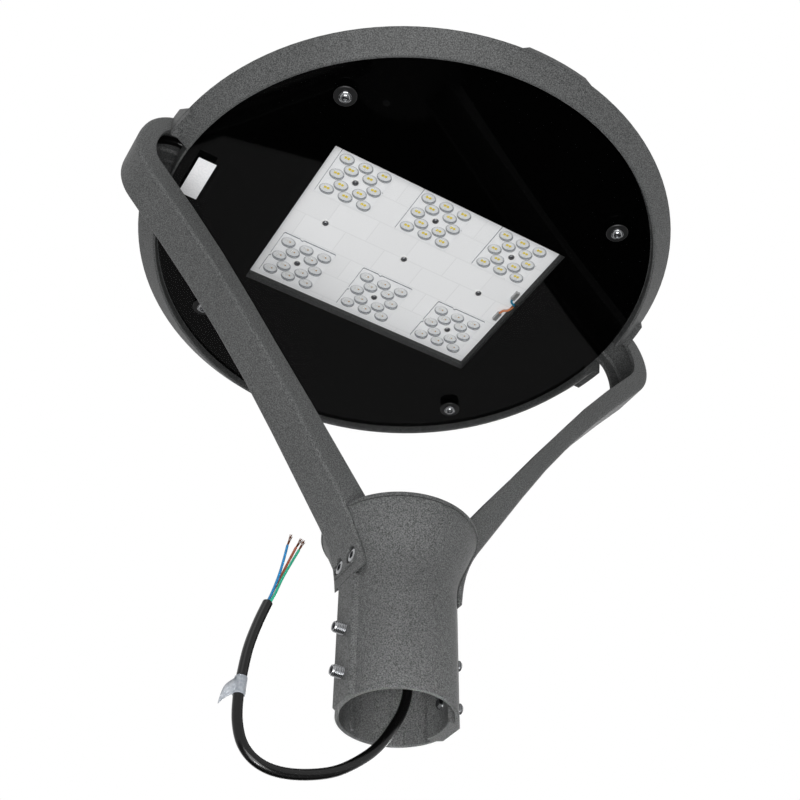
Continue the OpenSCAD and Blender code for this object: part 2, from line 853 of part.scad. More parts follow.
module glass_screw_places() {
    for (a = [45:90:315]) rotate(a) translate([glass_screw_r, 0, 0]) children();
}
module cover_screw_places() {
    for (i = [0:cover_screw_count - 1])
        rotate(360 * (i + 0.5) / cover_screw_count) translate([cover_screw_r, 0, 0]) children();
}

module box_prism(l, w, z0, z1) {
    translate([-l / 2, -w / 2, z0]) cube([l, w, z1 - z0]);
}

module housing() {
    color("#5c5d5e")
        difference() {
            union() {
                difference() {
                    union() {
                        housing_revolve();
                        mirror_x() boss_shape();
                        mirror_y() lug();
                    }
                    mirror_x() boss_hollow();
                }
                mirror_x() boss_core();
                box_prism(box_l + 2 * cast_wall, box_w + 2 * cast_wall, deck_z, box_top);
                glass_screw_places()
                    rod_z(glass_top + glass_boss_gap, glass_thread_top + 2, glass_boss_r);
                cover_screw_places()
                    rod_z(ledge_z - 14, ledge_z - 1, cover_screw_boss_r);
            }
            // LED box, open to the glass
            box_prism(box_l, box_w, deck_z - 1, box_ceiling);
            mirror_x() arm_way();
            glass_screw_places()
                rod_z(glass_top - 1, glass_thread_top, glass_screw_shank_r + thread_gap);
            cover_screw_places()
                rod_z(ledge_z - 12, ledge_z + 1, 2.5 + thread_gap);
            mirror_x() mirror_y() translate([head_screw_x, head_screw_y, 0])
                rod_z(pocket_z - head_thread_depth, pocket_z + 1, head_screw_r + thread_gap);
            // Cable entry from the left arm's pocket
            translate([0, 0, grommet_z]) {
                rod_x(-pocket_x - 1, -boss_core_x + 1, grommet_neck_r);
                rod_x(-pocket_x - grommet_flange_t - 0.3, -pocket_x, grommet_r + 0.1);
            }
            // Threads for the LED board, its lens arrays and the driver
            for (c = concat(array_cells, board_screw_cells()))
                translate([c[0], c[1], 0])
                    rod_z(box_ceiling - 1, box_top - 0.8, led_screw_r + thread_gap);
            for (s = [-1, 1])
                translate([driver_x + s * driver_screw_dx(), 0, 0])
                    rod_z(box_ceiling + 1.2, box_top + 1, driver_screw_r + thread_gap);
            led_wire_hole();
        }
}
function board_screw_cells() = [for (i = [-1:1]) [array_pitch_x * i, 0]];
function driver_screw_dx() = driver_size[0] / 2 + driver_foot[0] / 2;

module led_wire_hole() {
    translate([board_l / 2 + box_gap / 2, wire_exit_y, 0])
        rod_z(box_ceiling - 1, box_top + 1, 2.5);
}
wire_exit_y = -2;

module top_cover() {
    color("#5a5b5c")
        difference() {
            rotate_extrude($fn = 144)
                polygon(concat(
                    dome_line(0, cover_r, 0, 12),
                    [[cover_r, ledge_z + cover_gasket_t]],
                    [[ledge_in_r - 1, ledge_z + cover_gasket_t]],
                    dome_line(ledge_in_r - 1, 0, cover_wall, 10)
                ));
            cover_screw_places() {
                rod_z(ledge_z, head_top, 2.9);
                rod_z(cover_seat_z, head_top, 5);
            }
        }
}

module cover_gasket() {
    color("#26272a")
        difference() {
            rod_z(ledge_z, ledge_z + cover_gasket_t, cover_r - 1);
            rod_z(ledge_z - 1, ledge_z + cover_gasket_t + 1, ledge_in_r + 0.5);
            cover_screw_places() rod_z(ledge_z - 1, ledge_z + 4, 3.2);
        }
}

module cover_screws() {
    color("#b4b6b7")
        cover_screw_places()
            difference() {
                union() {
                    rod_z(ledge_z - 10, cover_seat_z + 0.5, 2.5);
                    rod_z(cover_seat_z, cover_seat_z + 2.6, 4.6);
                }
                translate([0, 0, cover_seat_z + 0.9]) cylinder(r = 1.7, h = 4, $fn = 6);
            }
}

// Glass and what holds it

module glass_pane() {
    color("#151315", 0.9)
        difference() {
            rod_z(rim_z, glass_top, glass_r);
            glass_screw_places() rod_z(rim_z - 1, glass_top + 1, glass_hole_r);
        }
}

module glass_gasket() {
    color("#202124")
        difference() {
            rod_z(glass_top, deck_z, gasket_out_r);
            rod_z(glass_top - 1, deck_z + 1, gasket_in_r);
        }
}

module glass_washers() {
    color("#0c0c0d")
        glass_screw_places()
            difference() {
                rod_z(rim_z - washer_t, rim_z - eps, washer_d / 2);
                rod_z(rim_z - washer_t - 1, rim_z + 1, glass_screw_shank_r + 0.3);
            }
}

module glass_screws() {
    color("#c4c6c7")
        glass_screw_places()
            difference() {
                union() {
                    rod_z(rim_z - washer_t - 0.5, glass_thread_top - 1, glass_screw_shank_r);
                    rod_z(rim_z - washer_t - 1, rim_z - washer_t, glass_head_r);
                    translate([0, 0, rim_z - washer_t - glass_head_h])
                        cylinder(r1 = glass_head_r - 1.6, r2 = glass_head_r, h = glass_head_h - 1);
                }
                translate([0, 0, rim_z - washer_t - glass_head_h - 1])
                    cylinder(r = 2.1, h = 3, $fn = 6);
            }
}

module rating_label() {
    color("#e8e9ea")
        translate([label_x, label_y, rim_z - label_t / 2])
            cube([label_w, label_l, label_t], center = true);
}

// LED board and what is on it

module led_board() {
    color("#dfe2e4")
        difference() {
            box_prism(board_l, board_w, board_z, box_ceiling);
            for (c = concat(array_cells, board_screw_cells()))
                translate([c[0], c[1], 0]) rod_z(board_z - 1, box_ceiling + 1, led_screw_r + 0.2);
        }
}

module led_chips() {
    color("#f2d21c")
        for (c = array_cells, p = lens_cells)
            translate([c[0] + p[0], c[1] + p[1], board_z - chip_t / 2])
                cube([chip_side, chip_side, chip_t], center = true);
}

module lens_array(i) {
    color("#e9edf0", 0.6)
        translate([array_cells[i][0], array_cells[i][1], 0])
            difference() {
                union() {
                    translate([-array_side / 2, -array_side / 2, lens_plate_z])
                        cube([array_side, array_side, lens_plate_t]);
                    for (p = lens_cells)
                        translate([p[0], p[1], lens_plate_z + eps])
                            rotate_extrude($fn = 24)
                                polygon(lens_outline());
                }
                // Room over each LED chip, and the screw's hole
                for (p = lens_cells)
                    translate([p[0], p[1], 0])
                        rod_z(board_z - chip_t - 0.2, board_z + 1, chip_side * 0.8);
                rod_z(lens_plate_z - 1, board_z + 1, led_screw_r + 0.3);
            }
}
// Half section of one lens: short straight foot and a round crown
function lens_outline() = concat(
    [[0, 0], [lens_r, 0]],
    [for (a = [0:15:75]) [lens_r * cos(a), -0.8 - (lens_h - 0.8) * sin(a)]],
    [[0, -lens_h]]
);

module led_screw(seat_z) {
    difference() {
        union() {
            rod_z(seat_z - 0.5, box_top - 1.4, led_screw_r);
            translate([0, 0, seat_z - led_head_h])
                cylinder(r1 = led_head_r - 0.6, r2 = led_head_r, h = led_head_h);
        }
        translate([0, 0, seat_z - led_head_h - 1]) cylinder(r = 1, h = 1.8, $fn = 6);
    }
}
module lens_screws() {
    color("#8d8f90")
        for (c = array_cells) translate([c[0], c[1], 0]) led_screw(lens_plate_z);
}
module board_screws() {
    color("#8d8f90")
        for (c = board_screw_cells()) translate([c[0], c[1], 0]) led_screw(board_z);
}

module led_connectors() {
    color("#c9c3b4")
        for (y = connector_ys)
            translate([connector_x - connector[0] / 2, y - connector[1] / 2,
                board_z - connector[2]])
                difference() {
                    cube(connector);
                    translate([connector[0] / 2, y < 0 ? connector[1] : 0, connector[2] / 2])
                        rotate([90, 0, 0]) cylinder(r = 1.05, h = 8, center = true);
                }
}

// LED wires: from their connectors over the board's edge and up through the
// hole in the box
function led_wire_points(y0, dy) = [
    [connector_x, y0, board_z - connector[2] / 2],
    [connector_x + 1, y0 + dy * 0.5, board_z - connector[2] / 2 - 0.4],
    [connector_x + 4, y0 + dy * 0.75, board_z - 2],
    [board_l / 2 + box_gap / 2 - 0.6, wire_exit_y + (y0 > 0 ? 1.2 : -1.2), board_z + 0.2],
    [board_l / 2 + box_gap / 2, wire_exit_y + (y0 > 0 ? 1.2 : -1.2), box_ceiling + 2],
    [board_l / 2 + box_gap / 2, wire_exit_y + (y0 > 0 ? 1.2 : -1.2), box_top + 3]
];
module led_wire(y0, dy) {
    skin([for (line = [spline(led_wire_points(y0, dy), 3)], i = [0:len(line) - 1])
        wire_ring(line, i, 0.95, 8)]);
}
function wire_ring(line, i, r, sides) =
    let (
        t = unit(line[min(i + 1, len(line) - 1)] - line[max(i - 1, 0)]),
        u = unit(cross(t, [1, 0.3, 0.2])),
        v = cross(t, u)
    )
    [for (k = [0:sides - 1]) let (a = 360 * k / sides) line[i] + r * (u * cos(a) + v * sin(a))];
module led_wire_blue() { color("#1d7fa0") led_wire(connector_ys[0] + 4, 7); }
module led_wire_copper() { color("#c9794f") led_wire(connector_ys[1] - 4, -9); }

// Driver side

module driver() {
    color("#d9dadb")
        translate([driver_x, 0, box_top])
            difference() {
                union() {
                    translate([-driver_size[0] / 2, -driver_size[1] / 2, 0]) cube(driver_size);
                    for (s = [-1, 1])
                        translate([s * driver_screw_dx() - driver_foot[0] / 2,
                            -driver_foot[1] / 2, 0])
                            cube(driver_foot);
                }
                for (s = [-1, 1])
                    translate([s * driver_screw_dx(), 0, 0]) rod_z(-1, 5, driver_screw_r + 0.3);
            }
}

module driver_screws() {
    color("#b4b6b7")
        for (s = [-1, 1])
            translate([driver_x + s * driver_screw_dx(), 0, 0]) {
                rod_z(box_ceiling + 1.6, box_top + driver_foot[2] + 0.5, driver_screw_r);
                rod_z(box_top + driver_foot[2], box_top + driver_foot[2] + 2.2, 3.8);
            }
}

module terminal_block() {
    color("#e2e0da")
        translate([block_x - block_size[0] / 2, -block_size[1] / 2, deck_top])
            difference() {
                cube(block_size);
                for (i = [0:2]) {
                    translate([block_size[0] / 2, block_size[1] / 2 + 10 * (i - 1), 6])
                        cylinder(r = 2.2, h = block_size[2]);
                    translate([-1, block_size[1] / 2 + 10 * (i - 1), 4])
                        rotate([0, 90, 0]) cylinder(r = 1.8, h = 8);
                }
            }
}

module cord_clamp() {
    color("#2b2c2e")
        difference() {
            translate([clamp_x - clamp_size[0] / 2, -clamp_size[1] / 2, deck_top])
                cube([clamp_size[0], clamp_size[1], clamp_z + cable_r + clamp_cap_t - deck_top]);
            translate([clamp_x - clamp_size[0], 0, clamp_z])
                rotate([0, 90, 0]) cylinder(r = cable_r + 0.5, h = 2 * clamp_size[0]);
            mirror_y() translate([clamp_x, clamp_screw_y, 0])
                rod_z(deck_top - 1, clamp_z + 20, 2.2);
        }
}

module clamp_screws() {
    color("#b4b6b7")
        mirror_y()
            translate([clamp_x, clamp_screw_y, 0]) {
                rod_z(deck_top + 0.3, clamp_z + cable_r + clamp_cap_t + 0.5, 2);
                rod_z(clamp_z + cable_r + clamp_cap_t, clamp_z + cable_r + clamp_cap_t + 2.2, 3.6);
            }
}

module cable_grommet() {
    color("#1b1b1c")
        translate([0, 0, grommet_z])
            difference() {
                union() {
                    rod_x(-pocket_x - grommet_flange_t, -pocket_x, grommet_r);
                    rod_x(-pocket_x - 0.5, -boss_core_x + 0.3, grommet_neck_r - 0.1);
                }
                rod_x(-pocket_x - 5, -boss_core_x + 5, cable_r + 0.15);
            }
}

// Supply cable and its cores

module supply_cable() {
    color("#141415") tube(cable_line(), cable_r, cable_sides);
}

module cable_tag() {
    // Wrap-round tag with a flag that stands out to the left
    color("#dfe2e4", 0.8)
        translate([cable_tag_x, 0, tag_z[0]])
            difference() {
                union() {
                    cylinder(r = cable_r + 1.5, h = tag_z[1] - tag_z[0]);
                    translate([-cable_r - tag_flag[0], -tag_flag[1] / 2, 1])
                        cube(tag_flag);
                }
                translate([0, 0, -1]) cylinder(r = cable_r + 0.9, h = tag_z[1] - tag_z[0] + 2);
            }
}

module core(points, tip) {
    line = spline(points, 4);
    end = line[len(line) - 1];
    tube(line, core_r, 8);
    tube([end - unit(tip - end) * 1, (end + tip) / 2, tip], strand_r, 8);
}
module core_blue() { color("#2f86c4") core(core_blue_pts, core_blue_tip); }
module core_brown() { color("#9a5b3c") core(core_brown_pts, core_brown_tip); }
module core_earth() { color("#5fae4d") core(core_earth_pts, core_earth_tip); }

pole_socket();
socket_cap();
cap_screws();
set_screws();
arm_left();
arm_right();
arm_foot_screws();
arm_head_screws();
housing();
top_cover();
cover_gasket();
cover_screws();
glass_pane();
glass_gasket();
glass_washers();
glass_screws();
rating_label();
led_board();
board_screws();
led_chips();
led_connectors();
lens_array(0);  // lens_array_1
lens_array(1);  // lens_array_2
lens_array(2);  // lens_array_3
lens_array(3);  // lens_array_4
lens_array(4);  // lens_array_5
lens_array(5);  // lens_array_6
lens_screws();
led_wire_blue();
led_wire_copper();
driver();
driver_screws();
terminal_block();
cord_clamp();
clamp_screws();
cable_grommet();
supply_cable();
cable_tag();
core_blue();
core_brown();
core_earth();
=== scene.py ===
# %% [markdown]
# # A post-top LED park light
# The lamp is a cast head on two curved arms, which stand on a pole socket. The
# CAD model gives every rigid shape. This lesson adds what a CAD model lacks:
# finishes, clear lenses, turned screw heads, a cable that bends, soft light,
# and a camera that looks up at the lamp from beside its pole.

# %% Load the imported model
import math

import bmesh
import bpy
from mathutils import Matrix, Vector
from mathutils.geometry import interpolate_bezier


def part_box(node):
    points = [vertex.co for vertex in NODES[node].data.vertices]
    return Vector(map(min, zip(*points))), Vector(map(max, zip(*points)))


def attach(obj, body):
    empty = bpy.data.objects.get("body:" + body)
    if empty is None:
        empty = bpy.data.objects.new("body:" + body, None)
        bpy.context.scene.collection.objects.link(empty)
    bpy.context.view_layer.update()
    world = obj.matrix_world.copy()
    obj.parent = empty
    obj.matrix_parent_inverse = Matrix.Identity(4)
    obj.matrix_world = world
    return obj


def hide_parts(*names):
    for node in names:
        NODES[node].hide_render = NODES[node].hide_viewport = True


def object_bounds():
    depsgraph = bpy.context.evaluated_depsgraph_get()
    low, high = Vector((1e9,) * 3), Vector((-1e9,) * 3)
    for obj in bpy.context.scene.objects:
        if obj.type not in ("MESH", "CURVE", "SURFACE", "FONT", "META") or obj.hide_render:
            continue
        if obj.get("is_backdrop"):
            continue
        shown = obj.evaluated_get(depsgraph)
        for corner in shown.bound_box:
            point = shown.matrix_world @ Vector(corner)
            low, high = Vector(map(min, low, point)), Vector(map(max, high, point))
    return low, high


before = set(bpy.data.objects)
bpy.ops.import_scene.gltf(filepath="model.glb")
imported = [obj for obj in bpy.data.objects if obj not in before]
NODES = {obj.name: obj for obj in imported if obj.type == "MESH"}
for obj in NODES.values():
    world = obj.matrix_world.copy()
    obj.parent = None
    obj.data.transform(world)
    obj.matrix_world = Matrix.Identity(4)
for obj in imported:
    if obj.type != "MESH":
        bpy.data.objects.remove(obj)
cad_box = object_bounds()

MM = 0.001
print(len(NODES), "CAD nodes, box", [[round(v, 4) for v in corner] for corner in cad_box])

# %% [markdown]
# ## Camera
# A photograph of a round head is a good ruler: its two rims are ellipses, and
# only one camera place turns the real circles into those ellipses. This place,
# the three axes and the focal length were fitted to the rims, the four glass
# screws and the socket. The camera stands low beside the pole and looks up.

# %% Camera
camera_data = bpy.data.cameras.new("camera")
camera_data.lens = 58.16
camera_data.sensor_width = 36.0
camera_data.clip_start = 0.01
camera_data.clip_end = 50.0
camera = bpy.data.objects.new("camera", camera_data)
bpy.context.scene.collection.objects.link(camera)
right = Vector((0.85793, -0.51361, 0.01225))
up = Vector((-0.35226, -0.57073, 0.74174))
forward = Vector((0.37398, 0.64068, 0.67058))
stand = Matrix((right, up, -forward)).transposed().to_4x4()
stand.translation = Vector((-375.07, -639.96, -398.90)) * MM
camera.matrix_world = stand
bpy.context.scene.camera = camera

# %% [markdown]
# ## Colours and nodes
# A colour picker shows sRGB hex values, while a shader works with linear light,
# so one function turns the first into the second. One more function adds a
# shader node, with its settings and what goes into its sockets.


# %% Colour and node helpers
def linear(hex_colour):
    """Linear RGBA of an sRGB hex value such as '#5a5b5c'."""
    parts = [int(hex_colour[i : i + 2], 16) / 255 for i in (1, 3, 5)]
    return tuple(c / 12.92 if c <= 0.04045 else ((c + 0.055) / 1.055) ** 2.4 for c in parts) + (1.0,)


def add(tree, kind, inputs=None, **settings):
    """One shader node: its settings, and the value or link of each named socket."""
    node = tree.nodes.new(kind)
    for key, value in settings.items():
        setattr(node, key, value)
    for key, value in (inputs or {}).items():
        if isinstance(value, bpy.types.NodeSocket):
            tree.links.new(value, node.inputs[key])
        else:
            node.inputs[key].default_value = value
    return node


def per_mm(size):
    """Texture scale at which one feature is this many millimetres wide."""
    return 1000.0 / size


# %% [markdown]
# ## One recipe for plain finishes
# Moulded, turned, printed and painted surfaces are never one flat colour. The
# recipe lays a noise of a real grain size over the surface: it varies the
# colour between a darker and a lighter value, and lifts the surface a little.


# %% Finish recipe
def finish(name, dark, light, grain_mm, relief_mm=0.0, sockets=None):
    """Material with two tones and a relief of one grain size, in millimetres."""
    material = bpy.data.materials.new(name)
    material.use_nodes = True
    tree = material.node_tree
    shader = tree.nodes["Principled BSDF"]
    place = add(tree, "ShaderNodeTexCoord").outputs["Object"]
    grain = add(
        tree, "ShaderNodeTexNoise",
        {"Vector": place, "Scale": per_mm(grain_mm), "Detail": 2.0, "Roughness": 0.5},
    ).outputs["Fac"]
    share = add(tree, "ShaderNodeMapRange", {"Value": grain, "From Min": 0.36, "From Max": 0.64})
    colour = add(
        tree, "ShaderNodeMix", {0: share.outputs["Result"], 6: linear(dark), 7: linear(light)},
        data_type="RGBA",
    )
    tree.links.new(colour.outputs[2], shader.inputs["Base Color"])
    relief = add(tree, "ShaderNodeBump", {"Height": grain, "Distance": relief_mm * MM, "Strength": 0.6})
    tree.links.new(relief.outputs["Normal"], shader.inputs["Normal"])
    for socket, value in (sockets or {}).items():
        shader.inputs[socket].default_value = value
    return material


# %% [markdown]
# ## Lines through points
# A cable, a wire and the edge of a curled film are smooth lines through a few
# known points. A Bezier curve passes through its knots, and handles of a sixth
# of the step between the two neighbours make it the same line as in the CAD
# model, where the cable's solid follows these points too.


# %% Line helpers
def knots_through(points):
    """Bezier knots as (left handle, point, right handle), from points in millimetres."""
    points = [Vector(p) * MM for p in points]
    last = len(points) - 1
    knots = []
    for i, p in enumerate(points):
        slope = (points[min(i + 1, last)] - points[max(i - 1, 0)]) / 6
        knots.append((p - slope, p, p + slope))
    return knots


def cut_line(knots, i, share):
    """The line before and after a point on the segment that follows knot i."""
    a, b, c, d = knots[i][1], knots[i][2], knots[i + 1][0], knots[i + 1][1]
    ab, bc, cd = a.lerp(b, share), b.lerp(c, share), c.lerp(d, share)
    front, rear = ab.lerp(bc, share), bc.lerp(cd, share)
    middle = front.lerp(rear, share)
    before = knots[:i] + [(knots[i][0], a, ab), (front, middle, middle)]
    after = [(middle, middle, rear), (cd, d, knots[i + 1][2])] + knots[i + 2 :]
    return before, after


def line_points(knots, steps):
    """Points on the line, with this many steps between two knots."""
    points = [knots[0][1]]
    for near, far in zip(knots, knots[1:]):
        points += interpolate_bezier(near[1], near[2], far[0], far[1], steps + 1)[1:]
    return points


def line_length(knots, steps=24):
    """Length of the line, in metres."""
    points = line_points(knots, steps)
    return sum((b - a).length for a, b in zip(points, points[1:]))


def round_line(name, runs, radius_mm, material, steps=6, round_steps=5):
    """Curve object with one round spline for each run of knots."""
    data = bpy.data.curves.new(name, "CURVE")
    data.dimensions = "3D"
    data.resolution_u = steps
    data.bevel_depth = radius_mm * MM
    data.bevel_resolution = round_steps
    data.use_fill_caps = True
    for knots in runs:
        spline = data.splines.new("BEZIER")
        spline.bezier_points.add(len(knots) - 1)
        for knot, (near, point, far) in zip(spline.bezier_points, knots):
            knot.handle_left_type = knot.handle_right_type = "FREE"
            knot.handle_left, knot.co, knot.handle_right = near, point, far
    data.materials.append(material)
    obj = bpy.data.objects.new(name, data)
    bpy.context.scene.collection.objects.link(obj)
    return obj


def place_piece(obj, slot, *stands_for):
    """The piece rides on the lamp and may stand for CAD nodes. The slot is not used."""
    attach(obj, "root")
    if stands_for:
        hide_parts(*stands_for)


# %% [markdown]
# ## Supply cable
# The cable is a round rubber-sheathed lead, 6.8 mm thick. Inside the lamp it
# runs from the terminal block, down the left arm and into the socket, held all
# the way. Below the socket's mouth it is free: a short stiff tail that springs
# into a curl, which the photograph shows from end to end. So the line is cut at
# the mouth into two curves: the part held in the lamp, and the tail.

# %% Route of the cable, in millimetres, as in the CAD model
CABLE_D = 6.8
HEAD_RUN = [
    (-141.2, 437.54), (-149.8, 437.54), (-165.8, 437.54), (-172.0, 439.14), (-179.1, 444.94),
    (-186.5, 446.74), (-191.5, 446.74),
]
ARM_RUN = [
    (-210.0, 449.6), (-215.6, 449.1), (-221.0, 447.3), (-226.0, 444.5), (-230.2, 440.8),
    (-233.6, 436.3), (-236.6, 429.6), (-239.0, 420.9), (-239.7, 412.0), (-239.0, 405.1),
    (-236.9, 398.4), (-233.4, 392.4), (-201.9, 356.9), (-172.0, 322.1), (-143.7, 286.1),
    (-116.8, 248.9), (-91.5, 210.7), (-48.7, 142.9),
]
TAIL_RUN = [
    (-42.5, 129.5), (-34.0, 120.4), (-26.0, 111.6), (-18.4, 101.0), (-11.4, 88.5), (-3.6, 71.5),
    (2.6, 54.0), (6.6, 37.0), (7.6, 21.4), (4.3, 7.2), (-2.9, -7.6), (-12.3, -22.0),
    (-24.4, -34.4), (-41.4, -46.4), (-61.0, -53.9), (-79.3, -56.8), (-93.4, -54.2),
    (-102.9, -46.4), (-107.8, -33.6), (-109.1, -17.0), (-108.1, -1.0), (-105.8, 17.6),
    (-101.2, 36.6), (-96.0, 53.0),
]
sheath = finish(
    # Rubber sheath, extruded: nearly black, with a soft shine along its crown.
    "extruded_rubber_sheath", "#040404", "#080808", 0.9, 0.01,
    sockets={"Roughness": 0.22, "Specular IOR Level": 0.3},
)
whole_line = knots_through([(x, 0, z) for x, z in HEAD_RUN + ARM_RUN + TAIL_RUN])
mouth = next(i for i in range(len(whole_line) - 1) if whole_line[i + 1][1].z < 0)
# Halve the span until the cut lies in the plane of the mouth, z = 0.
low, high = 0.0, 1.0
for _ in range(40):
    share = (low + high) / 2
    after = cut_line(whole_line, mouth, share)[1]
    low, high = (share, high) if after[0][1].z > 0 else (low, share)
held_line, tail_line = cut_line(whole_line, mouth, share)
tail_length = line_length(tail_line)

# %% [markdown]
# ## Cores and strands
# At the free end the sheath is stripped and three insulated cores stick out,
# each 1.8 mm thick, with a few millimetres of bare copper strands at the tip.
# A core is a thin round line. The strands are seven fine wires that twist a
# little round each other, which is what catches the eye as copper.

# %% Cable tail, cores and strands
CORES = {
    "blue": ("#0b6fa6", "#1583bb", [
        (-97.2, -0.4, 52.0), (-95.4, -0.8, 56.5), (-92.7, -1.0, 65.9), (-89.9, -1.0, 77.8),
        (-87.8, -1.0, 89.7), (-86.2, -1.0, 100.6)], (-83.9, -1.2, 110.0)),
    "brown": ("#a04c31", "#bb6142", [
        (-95.4, 1.5, 52.0), (-94.6, 1.9, 56.4), (-91.3, 2.0, 66.8), (-88.6, 2.0, 74.2),
        (-86.4, 2.0, 80.8), (-82.5, 2.2, 92.1), (-78.4, 2.4, 103.7)], (-74.6, 2.6, 112.4)),
    "earth": ("#0a8f6c", "#18a884", [
        (-95.2, -1.6, 52.0), (-94.3, -2.3, 55.0), (-92.4, -3.0, 60.4), (-88.9, -3.2, 71.9),
        (-84.4, -3.2, 83.9), (-78.7, -3.2, 98.2)], (-75.3, -3.4, 107.2)),
}
CORE_R = 0.9
STRAND_R = 0.2
STRANDS_ROUND = 6
STRAND_TWIST = 0.5
SLOTS = {"blue": "blue_insulation", "brown": "brown_insulation", "earth": "earth_insulation"}
strand_copper = finish(
    # Tarnished copper wire, drawn and bare: a dark red-brown metal.
    "bare_copper_strand", "#5c3420", "#7a4a30", 0.6, 0.0,
    sockets={"Metallic": 1.0, "Roughness": 0.38},
)
on_the_tail = []
for colour_name, (dark, light, points, tip) in CORES.items():
    insulation = finish(
        # PVC insulation, extruded: a strong colour with a satin skin.
        f"extruded_pvc_{colour_name}", dark, light, 1.2, 0.01, sockets={"Roughness": 0.34},
    )
    core = round_line(f"core_{colour_name}_line", [knots_through(points)], CORE_R, insulation)
    place_piece(core, SLOTS[colour_name], f"core_{colour_name}")
    start, end = Vector(points[-1]), Vector(tip)
    axis = (end - start).normalized()
    side = axis.cross(Vector((0, 1, 0))).normalized()
    other = axis.cross(side)
    wires = [knots_through([start - axis, start.lerp(end, 0.5), end])]
    for k in range(STRANDS_ROUND):
        wire = []
        for step in range(5):
            angle = math.tau * k / STRANDS_ROUND + STRAND_TWIST * step
            reach = 0.42 + 0.08 * step * ((k * 5) % 3)
            middle = (start - axis).lerp(end - axis * ((k * 7) % 4) * 0.4, step / 4)
            wire.append(middle + reach * (side * math.cos(angle) + other * math.sin(angle)))
        wires.append(knots_through(wire))
    strands = round_line(f"strands_{colour_name}", wires, STRAND_R, strand_copper, 3, 1)
    place_piece(strands, SLOTS[colour_name])
    on_the_tail += [core, strands]
held_cable = round_line("cable_in_arm", [held_line], CABLE_D / 2, sheath, 4)
place_piece(held_cable, "cable_sheath", "supply_cable")
tail = round_line("cable_tail", [tail_line], CABLE_D / 2, sheath, 10, 7)
place_piece(tail, "cable_sheath", "supply_cable")

# %% [markdown]
# ## Turned and square parts
# Screw heads, washers and LED bodies are all stacks of rings: a ring is round,
# or has the hexagon of a socket or the square of a package. One function skins
# such a stack along any axis and repeats it at each place. Edges sharper than
# thirty degrees stay crisp, and the rest shades smoothly.


# %% Turned parts
def section_radius(apothem, sides, angle):
    """Distance from the axis to a round (0 sides) or regular section."""
    if not sides:
        return apothem
    part = math.tau / sides
    return apothem / math.cos((angle % part) - part / 2)


def turned(name, rings, places, material, steps=36, smooth_angle=30):
    """Stack of rings (apothem, height, sides) in millimetres at each (origin, axis)."""
    shape = bmesh.new()
    for origin, axis in places:
        axis = Vector(axis).normalized()
        across = axis.orthogonal().normalized()
        beside = axis.cross(across)
        loops = []
        for apothem, height, sides in rings:
            loop = []
            for k in range(steps):
                angle = math.tau * k / steps
                reach = section_radius(apothem, sides, angle)
                point = Vector(origin) + axis * height
                point += reach * (across * math.cos(angle) + beside * math.sin(angle))
                loop.append(shape.verts.new(point * MM))
            loops.append(loop)
        for lower, upper in zip(loops, loops[1:]):
            for k in range(steps):
                n = (k + 1) % steps
                shape.faces.new((lower[k], lower[n], upper[n], upper[k]))
        shape.faces.new(loops[0][::-1])
        shape.faces.new(loops[-1])
    bmesh.ops.recalc_face_normals(shape, faces=shape.faces)
    mesh = bpy.data.meshes.new(name)
    shape.to_mesh(mesh)
    shape.free()
    mesh.materials.append(material)
    mesh.polygons.foreach_set("use_smooth", [True] * len(mesh.polygons))
    mesh.set_sharp_from_angle(angle=math.radians(smooth_angle))
    obj = bpy.data.objects.new(name, mesh)
    bpy.context.scene.collection.objects.link(obj)
    print(name, len(places), "places,", len(mesh.polygons), "faces")
    return obj


# %% [markdown]
# ## Cable tag
# A thin translucent film is wrapped round the cable and pressed together, and
# its flag has curled down to a point. The wrap is a turned sleeve. The flag is
# a sheet between two smooth edges, each read from the photograph.


# %% Cable tag
def curled_film(name, upper, lower, thick_mm, material, steps=6):
    """Sheet between two smooth edges, with a thickness."""
    rows = [line_points(knots_through(edge), steps) for edge in (upper, lower)]
    shape = bmesh.new()
    grid = []
    for a, b in zip(*rows):
        middle = a.lerp(b, 0.5) + Vector((0, -0.6 * MM, 0))
        grid.append([shape.verts.new(p) for p in (a, middle, b)])
    for near, far in zip(grid, grid[1:]):
        for k in range(2):
            shape.faces.new((near[k], near[k + 1], far[k + 1], far[k]))
    mesh = bpy.data.meshes.new(name)
    shape.to_mesh(mesh)
    shape.free()
    mesh.materials.append(material)
    mesh.polygons.foreach_set("use_smooth", [True] * len(mesh.polygons))
    obj = bpy.data.objects.new(name, mesh)
    bpy.context.scene.collection.objects.link(obj)
    thickness = obj.modifiers.new("thickness", "SOLIDIFY")
    thickness.thickness = thick_mm * MM
    thickness.offset = 0.0
    return obj


tag_film = finish(
    # Polypropylene film: milky, lets some light through, a satin shine.
    "translucent_polypropylene_film", "#9aa0a8", "#b4b9c0", 2.0, 0.01,
    sockets={"Roughness": 0.3, "Alpha": 0.72},
)
WRAP_RINGS = [
    (3.45, 0, 0), (4.0, 0.15, 0), (4.1, 0.8, 0), (4.0, 6.0, 0),
    (4.1, 11.2, 0), (4.0, 11.85, 0), (3.45, 12, 0),
]
FLAG_UPPER = [
    (-111.6, -1.6, -5.0), (-115.8, -1.2, -9.0), (-118.7, -0.6, -12.7), (-120.2, 0, -17.4),
    (-121.4, 0, -24.6),
]
FLAG_LOWER = [
    (-112.0, -1.6, -15.6), (-114.8, -1.2, -18.2), (-116.9, -0.6, -19.9), (-119.2, 0, -22.2),
    (-121.5, 0, -25.2),
]
FILM_T = 0.35
wrap = turned("tag_wrap", WRAP_RINGS, [((-109.1, 0, -16.0), (0.05, 0, 1))], tag_film)
flag = curled_film("tag_flag", FLAG_UPPER, FLAG_LOWER, FILM_T, tag_film)
place_piece(wrap, "tag_film", "cable_tag")
place_piece(flag, "tag_film", "cable_tag")

